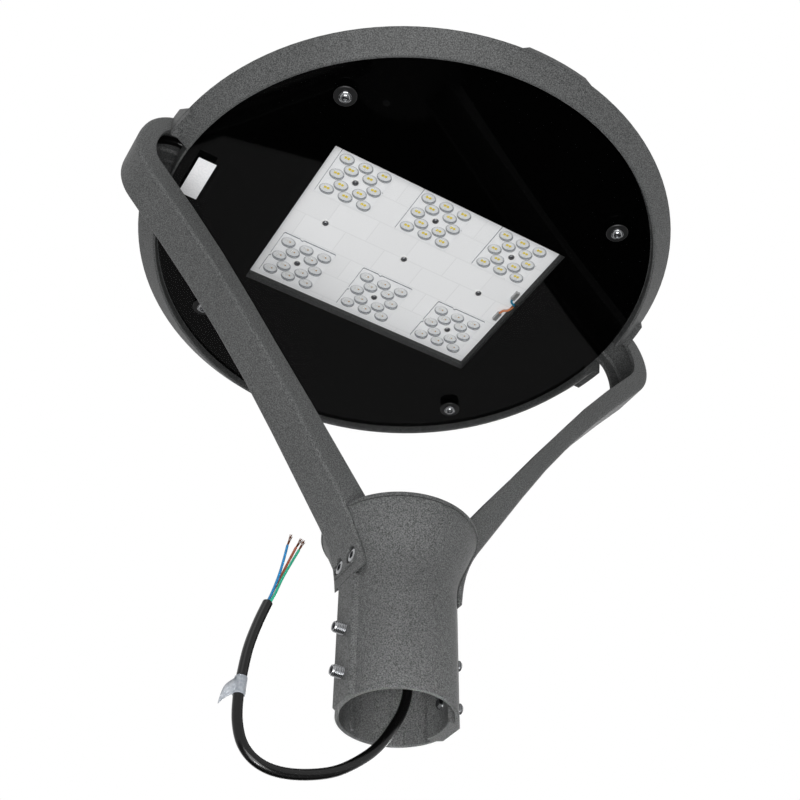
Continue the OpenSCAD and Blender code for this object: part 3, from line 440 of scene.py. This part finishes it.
# %% [markdown]
# ## Powder coat
# The castings carry a textured polyester powder coat in graphite grey. Melted
# powder leaves a fine pebbled skin, so the eye sees a dense speckle of dark and
# light points rather than a flat grey. The real grain is about half a
# millimetre. It would be too fine to show in the render, so it is drawn at
# 0.9 mm. Large soft clouds of tone keep big faces from looking cut from paper.
# A painted casting has softly rounded edges, and the Bevel node gives them to
# sharp CAD edges without a change to the mesh.

# %% Powder coat
GRAIN_MM = 0.9
CLOUD_MM = 70
EDGE_MM = 0.9
PEBBLE_MM = 0.16
coat = bpy.data.materials.new("textured_graphite_powder_coat")
coat.use_nodes = True
tree = coat.node_tree
shader = tree.nodes["Principled BSDF"]
place = add(tree, "ShaderNodeTexCoord").outputs["Object"]
grain = add(
    tree, "ShaderNodeTexNoise",
    {"Vector": place, "Scale": per_mm(GRAIN_MM), "Detail": 2.0, "Roughness": 0.6},
).outputs["Fac"]
clouds = add(
    tree, "ShaderNodeTexNoise", {"Vector": place, "Scale": per_mm(CLOUD_MM), "Detail": 2.0},
).outputs["Fac"]
speckle = add(tree, "ShaderNodeMapRange", {"Value": grain, "From Min": 0.36, "From Max": 0.66})
grey = add(
    tree, "ShaderNodeMix",
    {0: speckle.outputs["Result"], 6: linear("#262727"), 7: linear("#636464")}, data_type="RGBA",
)
tone = add(
    tree, "ShaderNodeMapRange",
    {"Value": clouds, "From Min": 0.3, "From Max": 0.7, "To Min": 0.93, "To Max": 1.06},
)
toned = add(
    tree, "ShaderNodeVectorMath", {0: grey.outputs[2], "Scale": tone.outputs["Result"]},
    operation="SCALE",
)
soft_edge = add(tree, "ShaderNodeBevel", {"Radius": EDGE_MM * MM}, samples=4)
pebbles = add(
    tree, "ShaderNodeBump",
    {"Height": grain, "Distance": PEBBLE_MM * MM, "Strength": 0.9,
     "Normal": soft_edge.outputs["Normal"]},
)
tree.links.new(toned.outputs["Vector"], shader.inputs["Base Color"])
tree.links.new(pebbles.outputs["Normal"], shader.inputs["Normal"])
shader.inputs["Roughness"].default_value = 0.55
shader.inputs["Specular IOR Level"].default_value = 0.4
CASTINGS = ("pole_socket", "socket_cap", "arm_left", "arm_right", "housing", "top_cover")
for name in CASTINGS:
    NODES[name].data.materials.clear()
    NODES[name].data.materials.append(coat)
print("powder coat on", len(CASTINGS), "castings, grain", GRAIN_MM, "mm")

# %% [markdown]
# ## Small parts' finishes
# Each of these is one plain material: polished or blackened steel, moulded
# rubber and nylon, printed vinyl, a white lacquered board. They all follow the
# same recipe with their own tones, grain and shine.

# %% Small parts' finishes
steel = finish(
    # Stainless steel, turned and polished: a mirror that the dark surroundings darken.
    "polished_stainless_steel", "#8c8d8f", "#a2a3a5", 0.7, 0.002,
    sockets={"Metallic": 1.0, "Roughness": 0.14},
)
zinc = finish(
    # Zinc-plated steel, turned: greyer and softer than stainless.
    "zinc_plated_steel", "#77787a", "#8d8e90", 0.7, 0.002, sockets={"Metallic": 1.0, "Roughness": 0.26},
)
nylon = finish(
    # Nylon, moulded: black with a dull shine.
    "moulded_black_nylon", "#0a0a0a", "#101011", 0.8, 0.01, sockets={"Roughness": 0.42},
)
rubber = finish(
    # EPDM rubber, moulded: soot black and matt.
    "moulded_epdm_rubber", "#141416", "#1c1c1f", 0.8, 0.03, sockets={"Roughness": 0.75},
)
vinyl = finish(
    # Vinyl label, blank: white with a faint even tooth.
    "white_vinyl_label", "#e3e4e6", "#efeff0", 1.4, 0.01, sockets={"Roughness": 0.45},
)
tinned = finish(
    # Tin-plated spring terminal: pale grey metal, softly bright.
    "tin_plated_terminal", "#9fa0a0", "#b9baba", 0.8, 0.0, sockets={"Metallic": 0.7, "Roughness": 0.35},
)
case_plastic = finish(
    # ABS, moulded: light grey, satin.
    "moulded_grey_abs", "#cbcccb", "#d6d7d6", 1.0, 0.01, sockets={"Roughness": 0.5},
)
polyamide = finish(
    # Polyamide, moulded: ivory white, satin.
    "moulded_ivory_polyamide", "#dad8cf", "#e4e2da", 1.0, 0.01, sockets={"Roughness": 0.5},
)
wire_blue = finish(
    # PVC insulation of an LED wire, extruded: teal blue, satin.
    "extruded_pvc_teal", "#16708f", "#2286a8", 1.0, 0.0, sockets={"Roughness": 0.35},
)
wire_copper = finish(
    # The same insulation in copper brown.
    "extruded_pvc_copper_brown", "#b56a41", "#cb8256", 1.0, 0.0, sockets={"Roughness": 0.35},
)
PAINT = {
    steel: ("cap_screws", "cover_screws", "arm_head_screws"),
    zinc: ("driver_screws", "clamp_screws"),
    nylon: ("cord_clamp",),
    rubber: ("cover_gasket", "glass_gasket", "cable_grommet"),
    vinyl: ("rating_label",),
    tinned: ("led_connectors",),
    wire_blue: ("led_wire_blue",),
    wire_copper: ("led_wire_copper",),
    case_plastic: ("driver",),
    polyamide: ("terminal_block",),
}
for material, names in PAINT.items():
    for name in names:
        NODES[name].data.materials.clear()
        NODES[name].data.materials.append(material)
    print(material.name, "on", *names)

# %% [markdown]
# ## Screws
# Stainless socket screws hold the glass and the arms, and clamp the pole. What
# makes them read as screws is the turned profile: a chamfer or a dome, a flat
# round the key's place, and the hexagon that goes in.

# %% Screws and washers
HEX = 6
DOWN = (0, 0, -1)
GLASS_Z = 420.04
WASHER_T = 1.5
GLASS_SCREW_R = 181.2
glass_angles = [math.pi / 4 + k * math.pi / 2 for k in range(4)]
glass_spots = [(GLASS_SCREW_R * math.cos(a), GLASS_SCREW_R * math.sin(a)) for a in glass_angles]
place_piece(turned(
    "glass_screw_heads",
    [(3, -16, 0), (3, 0, 0), (5.2, 0, 0), (5.2, 0.7, 0), (5.0, 1.05, 0), (4.55, 1.3, 0), (4.4, 1.25, 0),
     (4.25, 1.55, 0), (3.9, 2.15, 0), (3.4, 2.7, 0), (2.9, 3.05, 0), (2.6, 3.15, 0), (2.1, 3.1, HEX),
     (2.0, 2.95, HEX), (2.0, 1.2, HEX), (0.4, 0.7, 0)],
    [((x, y, GLASS_Z - WASHER_T), DOWN) for x, y in glass_spots], steel, 48,
), "stainless_steel", "glass_screws")
place_piece(turned(
    "glass_screw_washers",
    [(3.4, 0.02, 0), (8.8, 0.02, 0), (9.0, 0.25, 0), (9.0, 1.1, 0), (8.6, 1.45, 0),
     (5.6, WASHER_T, 0), (3.4, WASHER_T, 0)],
    [((x, y, GLASS_Z), DOWN) for x, y in glass_spots], nylon, 48,
), "black_nylon", "glass_washers")
# The thread is drawn as rings at its pitch, since a screw this small shows no helix.
THREAD_PITCH = 1.25
THREAD_TURNS = 13
SET_SCREW_X, SET_SCREW_Z = 30.6, (20, 52)
FOOT_SCREW_X, FOOT_SCREW_Y, FOOT_SCREW_Z = 39.7, 8.6, 105
thread = [(2.6, 0, 0)]
for turn in range(THREAD_TURNS):
    start = 0.9 + turn * THREAD_PITCH
    thread += [(3.45, start, 0), (4.0, start + 0.45, 0), (4.0, start + 0.75, 0)]
place_piece(turned(
    "pole_set_screws",
    thread + [(3.5, 17.1, 0), (3.3, 17.9, 0), (2.4, 17.9, HEX), (2.3, 17.7, HEX),
     (2.3, 13.4, HEX), (0.4, 12.8, 0)],
    [((sx * SET_SCREW_X, 0, z), (sx, 0, 0)) for sx in (-1, 1) for z in SET_SCREW_Z], steel, 48,
), "stainless_steel", "set_screws")
place_piece(turned(
    "arm_foot_screw_heads",
    [(3, -9, 0), (3, 0, 0), (5, 0, 0), (5, 2.3, 0), (4.85, 2.6, 0), (4.5, 2.8, 0),
     (2.5, 2.8, HEX), (2.35, 2.6, HEX), (2.35, 0.8, HEX), (0.4, 0.3, 0)],
    [((sx * FOOT_SCREW_X, sy * FOOT_SCREW_Y, FOOT_SCREW_Z), (sx, 0, 0))
     for sx in (-1, 1) for sy in (-1, 1)],
    steel, 48,
), "stainless_steel", "arm_foot_screws")

# %% [markdown]
# ## LED board
# Behind the window lies an aluminium board with a white lacquer, the solder
# mask. Copper areas under the lacquer show as large, very faint rectangles. A
# brick pattern of that size draws them.

# %% LED board
board_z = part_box("led_board")[0].z / MM
mask = bpy.data.materials.new("white_solder_mask")
mask.use_nodes = True
tree = mask.node_tree
shader = tree.nodes["Principled BSDF"]
place = add(tree, "ShaderNodeTexCoord").outputs["Object"]
areas = add(
    tree, "ShaderNodeTexBrick",
    {"Vector": place, "Scale": per_mm(1), "Brick Width": 38.0, "Row Height": 25.0, "Mortar Size": 0.5,
     "Color1": linear("#f3f4f5"), "Color2": linear("#eff0f1"), "Mortar": linear("#e9eaeb")},
)
orange_peel = add(tree, "ShaderNodeTexNoise", {"Vector": place, "Scale": per_mm(2.0)}).outputs["Fac"]
lacquer = add(tree, "ShaderNodeBump", {"Height": orange_peel, "Distance": 0.01 * MM, "Strength": 0.4})
tree.links.new(areas.outputs["Color"], shader.inputs["Base Color"])
tree.links.new(lacquer.outputs["Normal"], shader.inputs["Normal"])
shader.inputs["Roughness"].default_value = 0.4
NODES["led_board"].data.materials.clear()
NODES["led_board"].data.materials.append(mask)
print("board underside at", round(board_z, 2), "mm")

# %% [markdown]
# ## LED packages
# An LED is a small white ceramic body with a round window of yellow phosphor.
# The saddle of a lens shows its LED twice, so two bodies, 2.7 mm square, stand
# side by side under each lens and draw the two images. They are stacks of rings
# again, square and round. In the row nearer the camera the phosphor shows large
# and yellow. The far row throws its light the other way and shows a small dot,
# which is painted duller and browner as painted shade.

# %% LED packages
ARRAY_X = (-76.5, 0.0, 76.5)
ARRAY_Y = 51.0
PITCH = 17.2
LENS_CELLS = [(i, j) for i in (-1, 0, 1) for j in (-1, 0, 1) if i or j]
LENS_CELLS += [(i, j) for i in (-0.5, 0.5) for j in (-0.5, 0.5)]
near_row = [(x, -ARRAY_Y) for x in ARRAY_X]
far_row = [(x, ARRAY_Y) for x in ARRAY_X]


def led_places(row, offsets=(-1.35, 1.35)):
    """Places of the LED images of a row of arrays, at these offsets from each lens."""
    return [
        ((x + i * PITCH + offset, y + j * PITCH, board_z), DOWN)
        for x, y in row for i, j in LENS_CELLS for offset in offsets
    ]


ceramic = finish(
    # Glazed white ceramic, pressed: pure white, smooth.
    "white_led_ceramic", "#e4e5e3", "#efefed", 0.6, 0.0, sockets={"Roughness": 0.3},
)
phosphor = finish(
    # Phosphor in silicone, cast: saturated yellow, faintly shining.
    "yellow_phosphor", "#edd000", "#f8e010", 0.5, 0.01, sockets={"Roughness": 0.35},
)
shaded_phosphor = finish(
    # The same phosphor, painted duller and browner as painted shade, for its look through the side of a
    # lens.
    "phosphor_with_painted_shade", "#a87a2c", "#c29038", 0.5, 0.01, sockets={"Roughness": 0.35},
)
BODY = [(1.33, 0.02, 4), (1.33, 0.4, 4), (1.28, 0.55, 4), (1.22, 0.55, 0), (1.18, 0.47, 0)]
WIDE_WINDOW = [(1.18, 0.46, 0), (1.12, 0.55, 0), (0.6, 0.6, 0)]
SMALL_WINDOW = [(0.7, 0.48, 0), (0.65, 0.56, 0), (0.35, 0.6, 0)]
bodies = turned("led_bodies", BODY, led_places(near_row) + led_places(far_row), ceramic, 16)
near_windows = turned("led_phosphor_near", WIDE_WINDOW, led_places(near_row), phosphor, 16)
far_windows = turned("led_phosphor_far", SMALL_WINDOW, led_places(far_row, (1.35,)), shaded_phosphor, 12)
place_piece(bodies, "led_phosphor", "led_chips")
place_piece(near_windows, "led_phosphor")
place_piece(far_windows, "led_phosphor")

# %% [markdown]
# ## Lens arrays
# A lens array is one moulding of clear acrylic: a thin plate with twelve lenses.
# A street light spreads its light to two sides, so each lens is a long oval with
# a low saddle in its middle. Real refraction would starve the LEDs of light in a
# short render, so a lens is a single open shell: see-through where it faces the
# eye, and painted grey shade where it turns away, for the darker look of thick
# acrylic. The plate lies flat on the white board, so it is white, with an oval
# hole under each lens.


# %% Lens arrays
PLATE = 49.6
PLATE_T = 1.45
PLATE_SEAT = 1.5
LENS_A, LENS_B, LENS_H = 6.4, 5.0, 4.15
LENS_WALL = 0.5
SADDLE_DEPTH, SADDLE_HALF_WIDTH = 0.2, 2.3
HOLE_SHARE = 0.96
LENS_RINGS, LENS_STEPS = 7, 28
LENS_ANGLES = [math.tau * k / LENS_STEPS for k in range(LENS_STEPS)]


def lens_height(x, y):
    """Height of a saddle-backed oval lens over its plate, in millimetres."""
    spread = min(1.0, (x / LENS_A) ** 2 + (y / LENS_B) ** 2)
    saddle = 1 - SADDLE_DEPTH * math.exp(-((x / SADDLE_HALF_WIDTH) ** 2))
    return LENS_WALL + (LENS_H - LENS_WALL) * math.sqrt(1 - spread) * saddle


def plate_outline(turn):
    """Rounded square with a notch in two of its edges, as points in millimetres."""
    h, r, n = PLATE / 2, 1.2, 1.1  # half side, corner radius, depth of a notch
    points = []
    for sx, sy, first in ((1, 1, 0), (-1, 1, 90), (-1, -1, 180), (1, -1, 270)):
        for step in range(4):
            a = math.radians(first + 30 * step)
            points.append((sx * (h - r) + r * math.cos(a), sy * (h - r) + r * math.sin(a)))
        if first == 0:
            points += [(9.5, h), (9.0, h - n), (7.0, h - n), (6.5, h)]
        if first == 270:
            points += [(h, -4.5), (h - n, -4.0), (h - n, -2.0), (h, -1.5)]
    return [(turn * x, turn * y) for x, y in points]


def plate_mesh(cx, cy, turn):
    """Flat plate with an oval hole under each lens, as a mesh from a filled curve."""
    data = bpy.data.curves.new("plate", "CURVE")
    data.dimensions = "2D"
    data.fill_mode = "BOTH"
    data.extrude = PLATE_T / 2 * MM
    hole_a, hole_b = HOLE_SHARE * LENS_A, HOLE_SHARE * LENS_B
    ovals = [
        [(i * PITCH + hole_a * math.cos(a), j * PITCH + hole_b * math.sin(a)) for a in LENS_ANGLES]
        for i, j in LENS_CELLS
    ]
    for loop in [plate_outline(turn)] + ovals:
        spline = data.splines.new("POLY")
        spline.points.add(len(loop) - 1)
        spline.use_cyclic_u = True
        for point, (x, y) in zip(spline.points, loop):
            point.co = (x * MM, y * MM, 0, 1)
    obj = bpy.data.objects.new("plate", data)
    mesh = bpy.data.meshes.new_from_object(obj)
    middle = Vector((cx, cy, board_z - PLATE_SEAT + PLATE_T / 2))
    mesh.transform(Matrix.Translation(middle * MM))
    bpy.data.objects.remove(obj)
    bpy.data.curves.remove(data)
    return mesh


def lens_array(name, cx, cy, turn, materials):
    """One moulding. Its materials are those of the lenses, the plate and the plate's edge."""
    plate_z = board_z - PLATE_SEAT
    shape = bmesh.new()
    flat = plate_mesh(cx, cy, turn)
    shape.from_mesh(flat)
    bpy.data.meshes.remove(flat)
    bmesh.ops.remove_doubles(shape, verts=shape.verts, dist=0.00001)
    bmesh.ops.recalc_face_normals(shape, faces=shape.faces)
    for face in shape.faces:
        face.material_index = 1 if abs(face.normal.z) > 0.5 else 2
        face.smooth = False
    for i, j in LENS_CELLS:
        ox, oy = cx + i * PITCH, cy + j * PITCH
        loops = []
        for ring in range(LENS_RINGS + 1):
            share = math.cos(math.pi / 2 * ring / (LENS_RINGS + 1))
            points = [(LENS_A * share * math.cos(a), LENS_B * share * math.sin(a)) for a in LENS_ANGLES]
            loops.append([(x, y, -lens_height(x, y)) for x, y in points])
        loops.insert(0, [(x, y, 0.3) for x, y, _ in loops[0]])
        loops = [
            [shape.verts.new(Vector((ox + x, oy + y, plate_z + z)) * MM) for x, y, z in loop]
            for loop in loops
        ]
        tip = shape.verts.new(Vector((ox, oy, plate_z - lens_height(0, 0))) * MM)
        for k in range(LENS_STEPS):
            n = (k + 1) % LENS_STEPS
            for lower, upper in zip(loops, loops[1:]):
                shape.faces.new((lower[n], upper[n], upper[k], lower[k])).smooth = True
            shape.faces.new((loops[-1][n], tip, loops[-1][k])).smooth = True
    mesh = bpy.data.meshes.new(name)
    shape.to_mesh(mesh)
    shape.free()
    for material in materials:
        mesh.materials.append(material)
    obj = bpy.data.objects.new(name, mesh)
    bpy.context.scene.collection.objects.link(obj)
    return obj


lens_acrylic_rim_shade = finish(
    # Optical acrylic, moulded: clear, with a hard polished skin. Its grey is painted shade, shown where
    # the shell turns from the eye.
    "clear_acrylic_painted_rim_shade", "#8e9499", "#a0a6ab", 3.0, 0.02, sockets={"Roughness": 0.04, "IOR": 1.49},
)
tree = lens_acrylic_rim_shade.node_tree
tilt = add(tree, "ShaderNodeLayerWeight", {"Blend": 0.5}).outputs["Facing"]
# Alpha is low where the shell faces the eye and high where it turns away, so the grey shows there as
# painted shade.
rim_shade_cover = add(
    tree, "ShaderNodeMapRange",
    {"Value": tilt, "From Min": 0.2, "From Max": 0.9, "To Min": 0.1, "To Max": 0.85},
)
tree.links.new(rim_shade_cover.outputs["Result"], tree.nodes["Principled BSDF"].inputs["Alpha"])
acrylic_plate = finish(
    # The plate lies flat on the white board, so the eye sees that white with a sharper shine.
    "acrylic_plate_over_white", "#eeeff1", "#f4f5f6", 6.0, 0.0, sockets={"Roughness": 0.1},
)
acrylic_edge = finish(
    # The plate's moulded edge: it bends light away, so it is painted grey, as painted shade.
    "clear_acrylic_edge", "#7d8286", "#8b9094", 6.0, 0.0, sockets={"Roughness": 0.15},
)
for number, (x, y) in enumerate(near_row + far_row, 1):
    turn = 1 if y < 0 else -1
    array = lens_array(f"lenses_{number}", x, y, turn, (lens_acrylic_rim_shade, acrylic_plate, acrylic_edge))
    place_piece(array, "clear_lens", f"lens_array_{number}")
    print(array.name, len(LENS_CELLS), "lenses,", len(array.data.polygons), "faces")

# %% [markdown]
# ## Screws of the board
# A small pan-head screw sits in the middle of each array and three more hold
# the board between the rows. A white ring keeps the metal off the circuit, and
# it is the ring that makes each dark head stand out.

# %% Screws of the board
PAN = [(1.5, -4, 0), (1.5, 0, 0), (2.7, 0, 0), (2.75, 0.3, 0), (2.6, 0.85, 0), (2.2, 1.3, 0),
       (1.6, 1.55, 0), (1.2, 1.6, 0), (0.95, 1.55, HEX), (0.95, 0.9, HEX), (0.3, 0.6, 0)]
RING = [(2.85, 0.0, 0), (3.6, 0.0, 0), (3.6, 0.25, 0), (3.3, 0.4, 0), (2.85, 0.4, 0)]
array_seats = [((x, y, board_z - PLATE_SEAT), DOWN) for x, y in near_row + far_row]
board_seats = [((x, 0, board_z), DOWN) for x in ARRAY_X]
dark_steel = finish(
    # Black-oxide steel, turned: a dark mirror.
    "black_oxide_steel", "#6f7073", "#828386", 0.5, 0.0, sockets={"Metallic": 0.8, "Roughness": 0.3},
)
array_screws = turned("array_screws", PAN, array_seats, dark_steel, 24)
board_screws = turned("board_screw_heads", PAN, board_seats, dark_steel, 24)
rings = turned("screw_rings", RING, array_seats + board_seats, ceramic, 24)
place_piece(array_screws, "stainless_steel", "lens_screws")
place_piece(board_screws, "stainless_steel", "board_screws")
place_piece(rings, "solder_mask_white")

# %% [markdown]
# ## Printed glass
# The front is a pane of toughened glass, 5 mm thick. A black ceramic print is
# fired onto its inner face and leaves a rectangular window. Real glass bends
# light, yet a short render then starves the board of light, because lamps don't
# shine through refraction. So the pane is a nearly clear coat with a glass
# shine, which lets shadows through. The print is a sheet of its own, just inside
# the pane's inner face, where it also hides the gasket.


# %% Printed glass
def print_sheet(outer_r, half_x, half_y, z, thick, material, steps=144):
    """Sheet between a circle and a rectangle, both walked by the same angles."""
    corners = [math.atan2(sy * half_y, sx * half_x) % math.tau for sx in (1, -1) for sy in (1, -1)]
    angles = sorted(set([math.tau * i / steps for i in range(steps)] + corners))
    vertices = []
    for a in angles:
        c, s = math.cos(a), math.sin(a)
        to_side = half_x / abs(c) if abs(c) > 1e-9 else math.inf
        to_end = half_y / abs(s) if abs(s) > 1e-9 else math.inf
        reach = min(to_side, to_end)
        for radius in (reach, outer_r):
            for level in (z, z + thick):
                vertices.append((radius * c * MM, radius * s * MM, level * MM))
    faces = []
    n = len(angles)
    for i in range(n):
        a, b = 4 * i, 4 * ((i + 1) % n)
        faces += [
            (a, a + 2, b + 2, b), (a + 1, b + 1, b + 3, a + 3),
            (a, b, b + 1, a + 1), (a + 2, a + 3, b + 3, b + 2),
        ]
    mesh = bpy.data.meshes.new("glass_print")
    mesh.from_pydata(vertices, [], faces)
    mesh.materials.append(material)
    mesh.validate()
    obj = bpy.data.objects.new("glass_print", mesh)
    bpy.context.scene.collection.objects.link(obj)
    return obj


glass = finish(
    # Toughened glass, polished: mirror-smooth, with no colour of its own.
    "toughened_glass", "#040505", "#050606", 40.0, 0.0,
    sockets={"Roughness": 0.02, "IOR": 1.5, "Alpha": 0.05},
)
ceramic_print = finish(
    # Ceramic enamel, screen-printed and fired: deep black behind the glass.
    "black_ceramic_print", "#010101", "#020202", 0.6, 0.0,
    sockets={"Roughness": 0.02, "Specular IOR Level": 0.16},
)
NODES["glass_pane"].data.materials.clear()
NODES["glass_pane"].data.materials.append(glass)
PRINT_R = 208.0
WINDOW_HALF_X, WINDOW_HALF_Y = 110.5, 80.7
PRINT_Z, PRINT_T = 424.9, 0.1
sheet = print_sheet(PRINT_R, WINDOW_HALF_X, WINDOW_HALF_Y, PRINT_Z, PRINT_T, ceramic_print)
place_piece(sheet, "black_printed_glass")
print("window", 2 * WINDOW_HALF_X, "x", 2 * WINDOW_HALF_Y, "mm")

# %% [markdown]
# ## Studio
# The lamp hangs in a white room: the world is white for the camera and for
# reflections, and dimmer where it lights the lamp, so that colours render about
# as they are written. A large soft lamp low on the camera's side reaches under
# the head, and weaker ones shape the top and the back. A small one with a narrow
# beam fills the socket's mouth. A black card is seen by reflections only, and
# gives the glass its dark half.

# %% Floor and card
FLOOR_Z, CARD_Z = -1.6, -0.7
floor_mesh = bpy.data.meshes.new("floor")
floor_shape = bmesh.new()
bmesh.ops.create_circle(floor_shape, cap_ends=True, segments=96, radius=6.0)
floor_shape.to_mesh(floor_mesh)
floor_shape.free()
floor = bpy.data.objects.new("floor", floor_mesh)
floor.location = (0, 0, FLOOR_Z)
bpy.context.scene.collection.objects.link(floor)
floor_mesh.materials.append(finish(
    # Painted board, rolled: pale and matt.
    "pale_studio_floor", "#e6e6e6", "#eaeaea", 30.0, sockets={"Roughness": 0.9},
))
floor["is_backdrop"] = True

# The card's edge is where the line between the dark and the lit glass mirrors to.
card_mesh = bpy.data.meshes.new("black_card")
card_outline = [
    (-0.5, 1.2), (-0.018, 1.017), (0.018, 0.89), (0.024, 0.824), (0.064, 0.771), (0.244, 0.730),
    (0.773, 0.758), (0.905, 0.828), (1.006, 0.877), (1.8, 1.0), (1.8, 0.0), (-0.5, 0.0),
]
card_corners = [(x, y, CARD_Z) for x, y in card_outline]
card_mesh.from_pydata(card_corners, [], [list(range(len(card_corners)))])
card = bpy.data.objects.new("black_card", card_mesh)
bpy.context.scene.collection.objects.link(card)
card_mesh.materials.append(finish(
    # Velvet, woven: black that throws nothing back.
    "black_velvet_card", "#000000", "#010101", 5.0,
    sockets={"Roughness": 1.0, "Specular IOR Level": 0.0},
))
card.visible_camera = card.visible_diffuse = card.visible_shadow = card.visible_transmission = False
card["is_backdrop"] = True

# %% World and lamps
WORLD_LIGHT = 0.26
world = bpy.data.worlds.new("white_room")
bpy.context.scene.world = world
world.use_nodes = True
tree = world.node_tree
ray = add(tree, "ShaderNodeLightPath").outputs
seen = ray["Is Camera Ray"]
for kind in ("Is Glossy Ray", "Is Transmission Ray"):
    seen = add(tree, "ShaderNodeMath", {0: seen, 1: ray[kind]}, operation="MAXIMUM").outputs[0]
level = add(tree, "ShaderNodeMapRange", {"Value": seen, "To Min": WORLD_LIGHT, "To Max": 1.0})
background = tree.nodes["Background"]
background.inputs["Color"].default_value = (1, 1, 1, 1)
tree.links.new(level.outputs["Result"], background.inputs["Strength"])


def soft_lamp(name, location, target, size, watts, spread=180):
    """Square lamp that faces its target, in metres, watts and degrees."""
    data = bpy.data.lights.new(name, "AREA")
    data.shape = "SQUARE"
    data.size = size
    data.energy = watts
    data.spread = math.radians(spread)
    lamp = bpy.data.objects.new(name, data)
    lamp.location = location
    lamp.rotation_euler = (Vector(target) - Vector(location)).to_track_quat("-Z", "Y").to_euler()
    lamp.visible_camera = False
    bpy.context.scene.collection.objects.link(lamp)


soft_lamp("low_lamp", (-0.55, -1.05, -1.15), (0, 0, 0.25), 1.3, 40)
soft_lamp("high_lamp", (-1.0, -1.1, 1.6), (0, 0, 0.25), 1.2, 5)
soft_lamp("back_lamp", (1.2, 1.7, 1.1), (0, 0, 0.3), 1.2, 14)
soft_lamp("mouth_lamp", (-0.17, -0.30, -0.55), (0.01, 0.01, 0.03), 0.12, 0.07, 16)
bpy.context.scene.view_settings.view_transform = "Standard"

# %% [markdown]
# ## Close
# The boxes of the CAD model and of the dressed model are printed together, to show
# whether the visible pieces stay inside the real size.

# %% Sizes and finish
boxes = {"cad": cad_box, "visual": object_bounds()}
boxes = {key: [[float(v) for v in corner] for corner in box] for key, box in boxes.items()}
print(boxes)
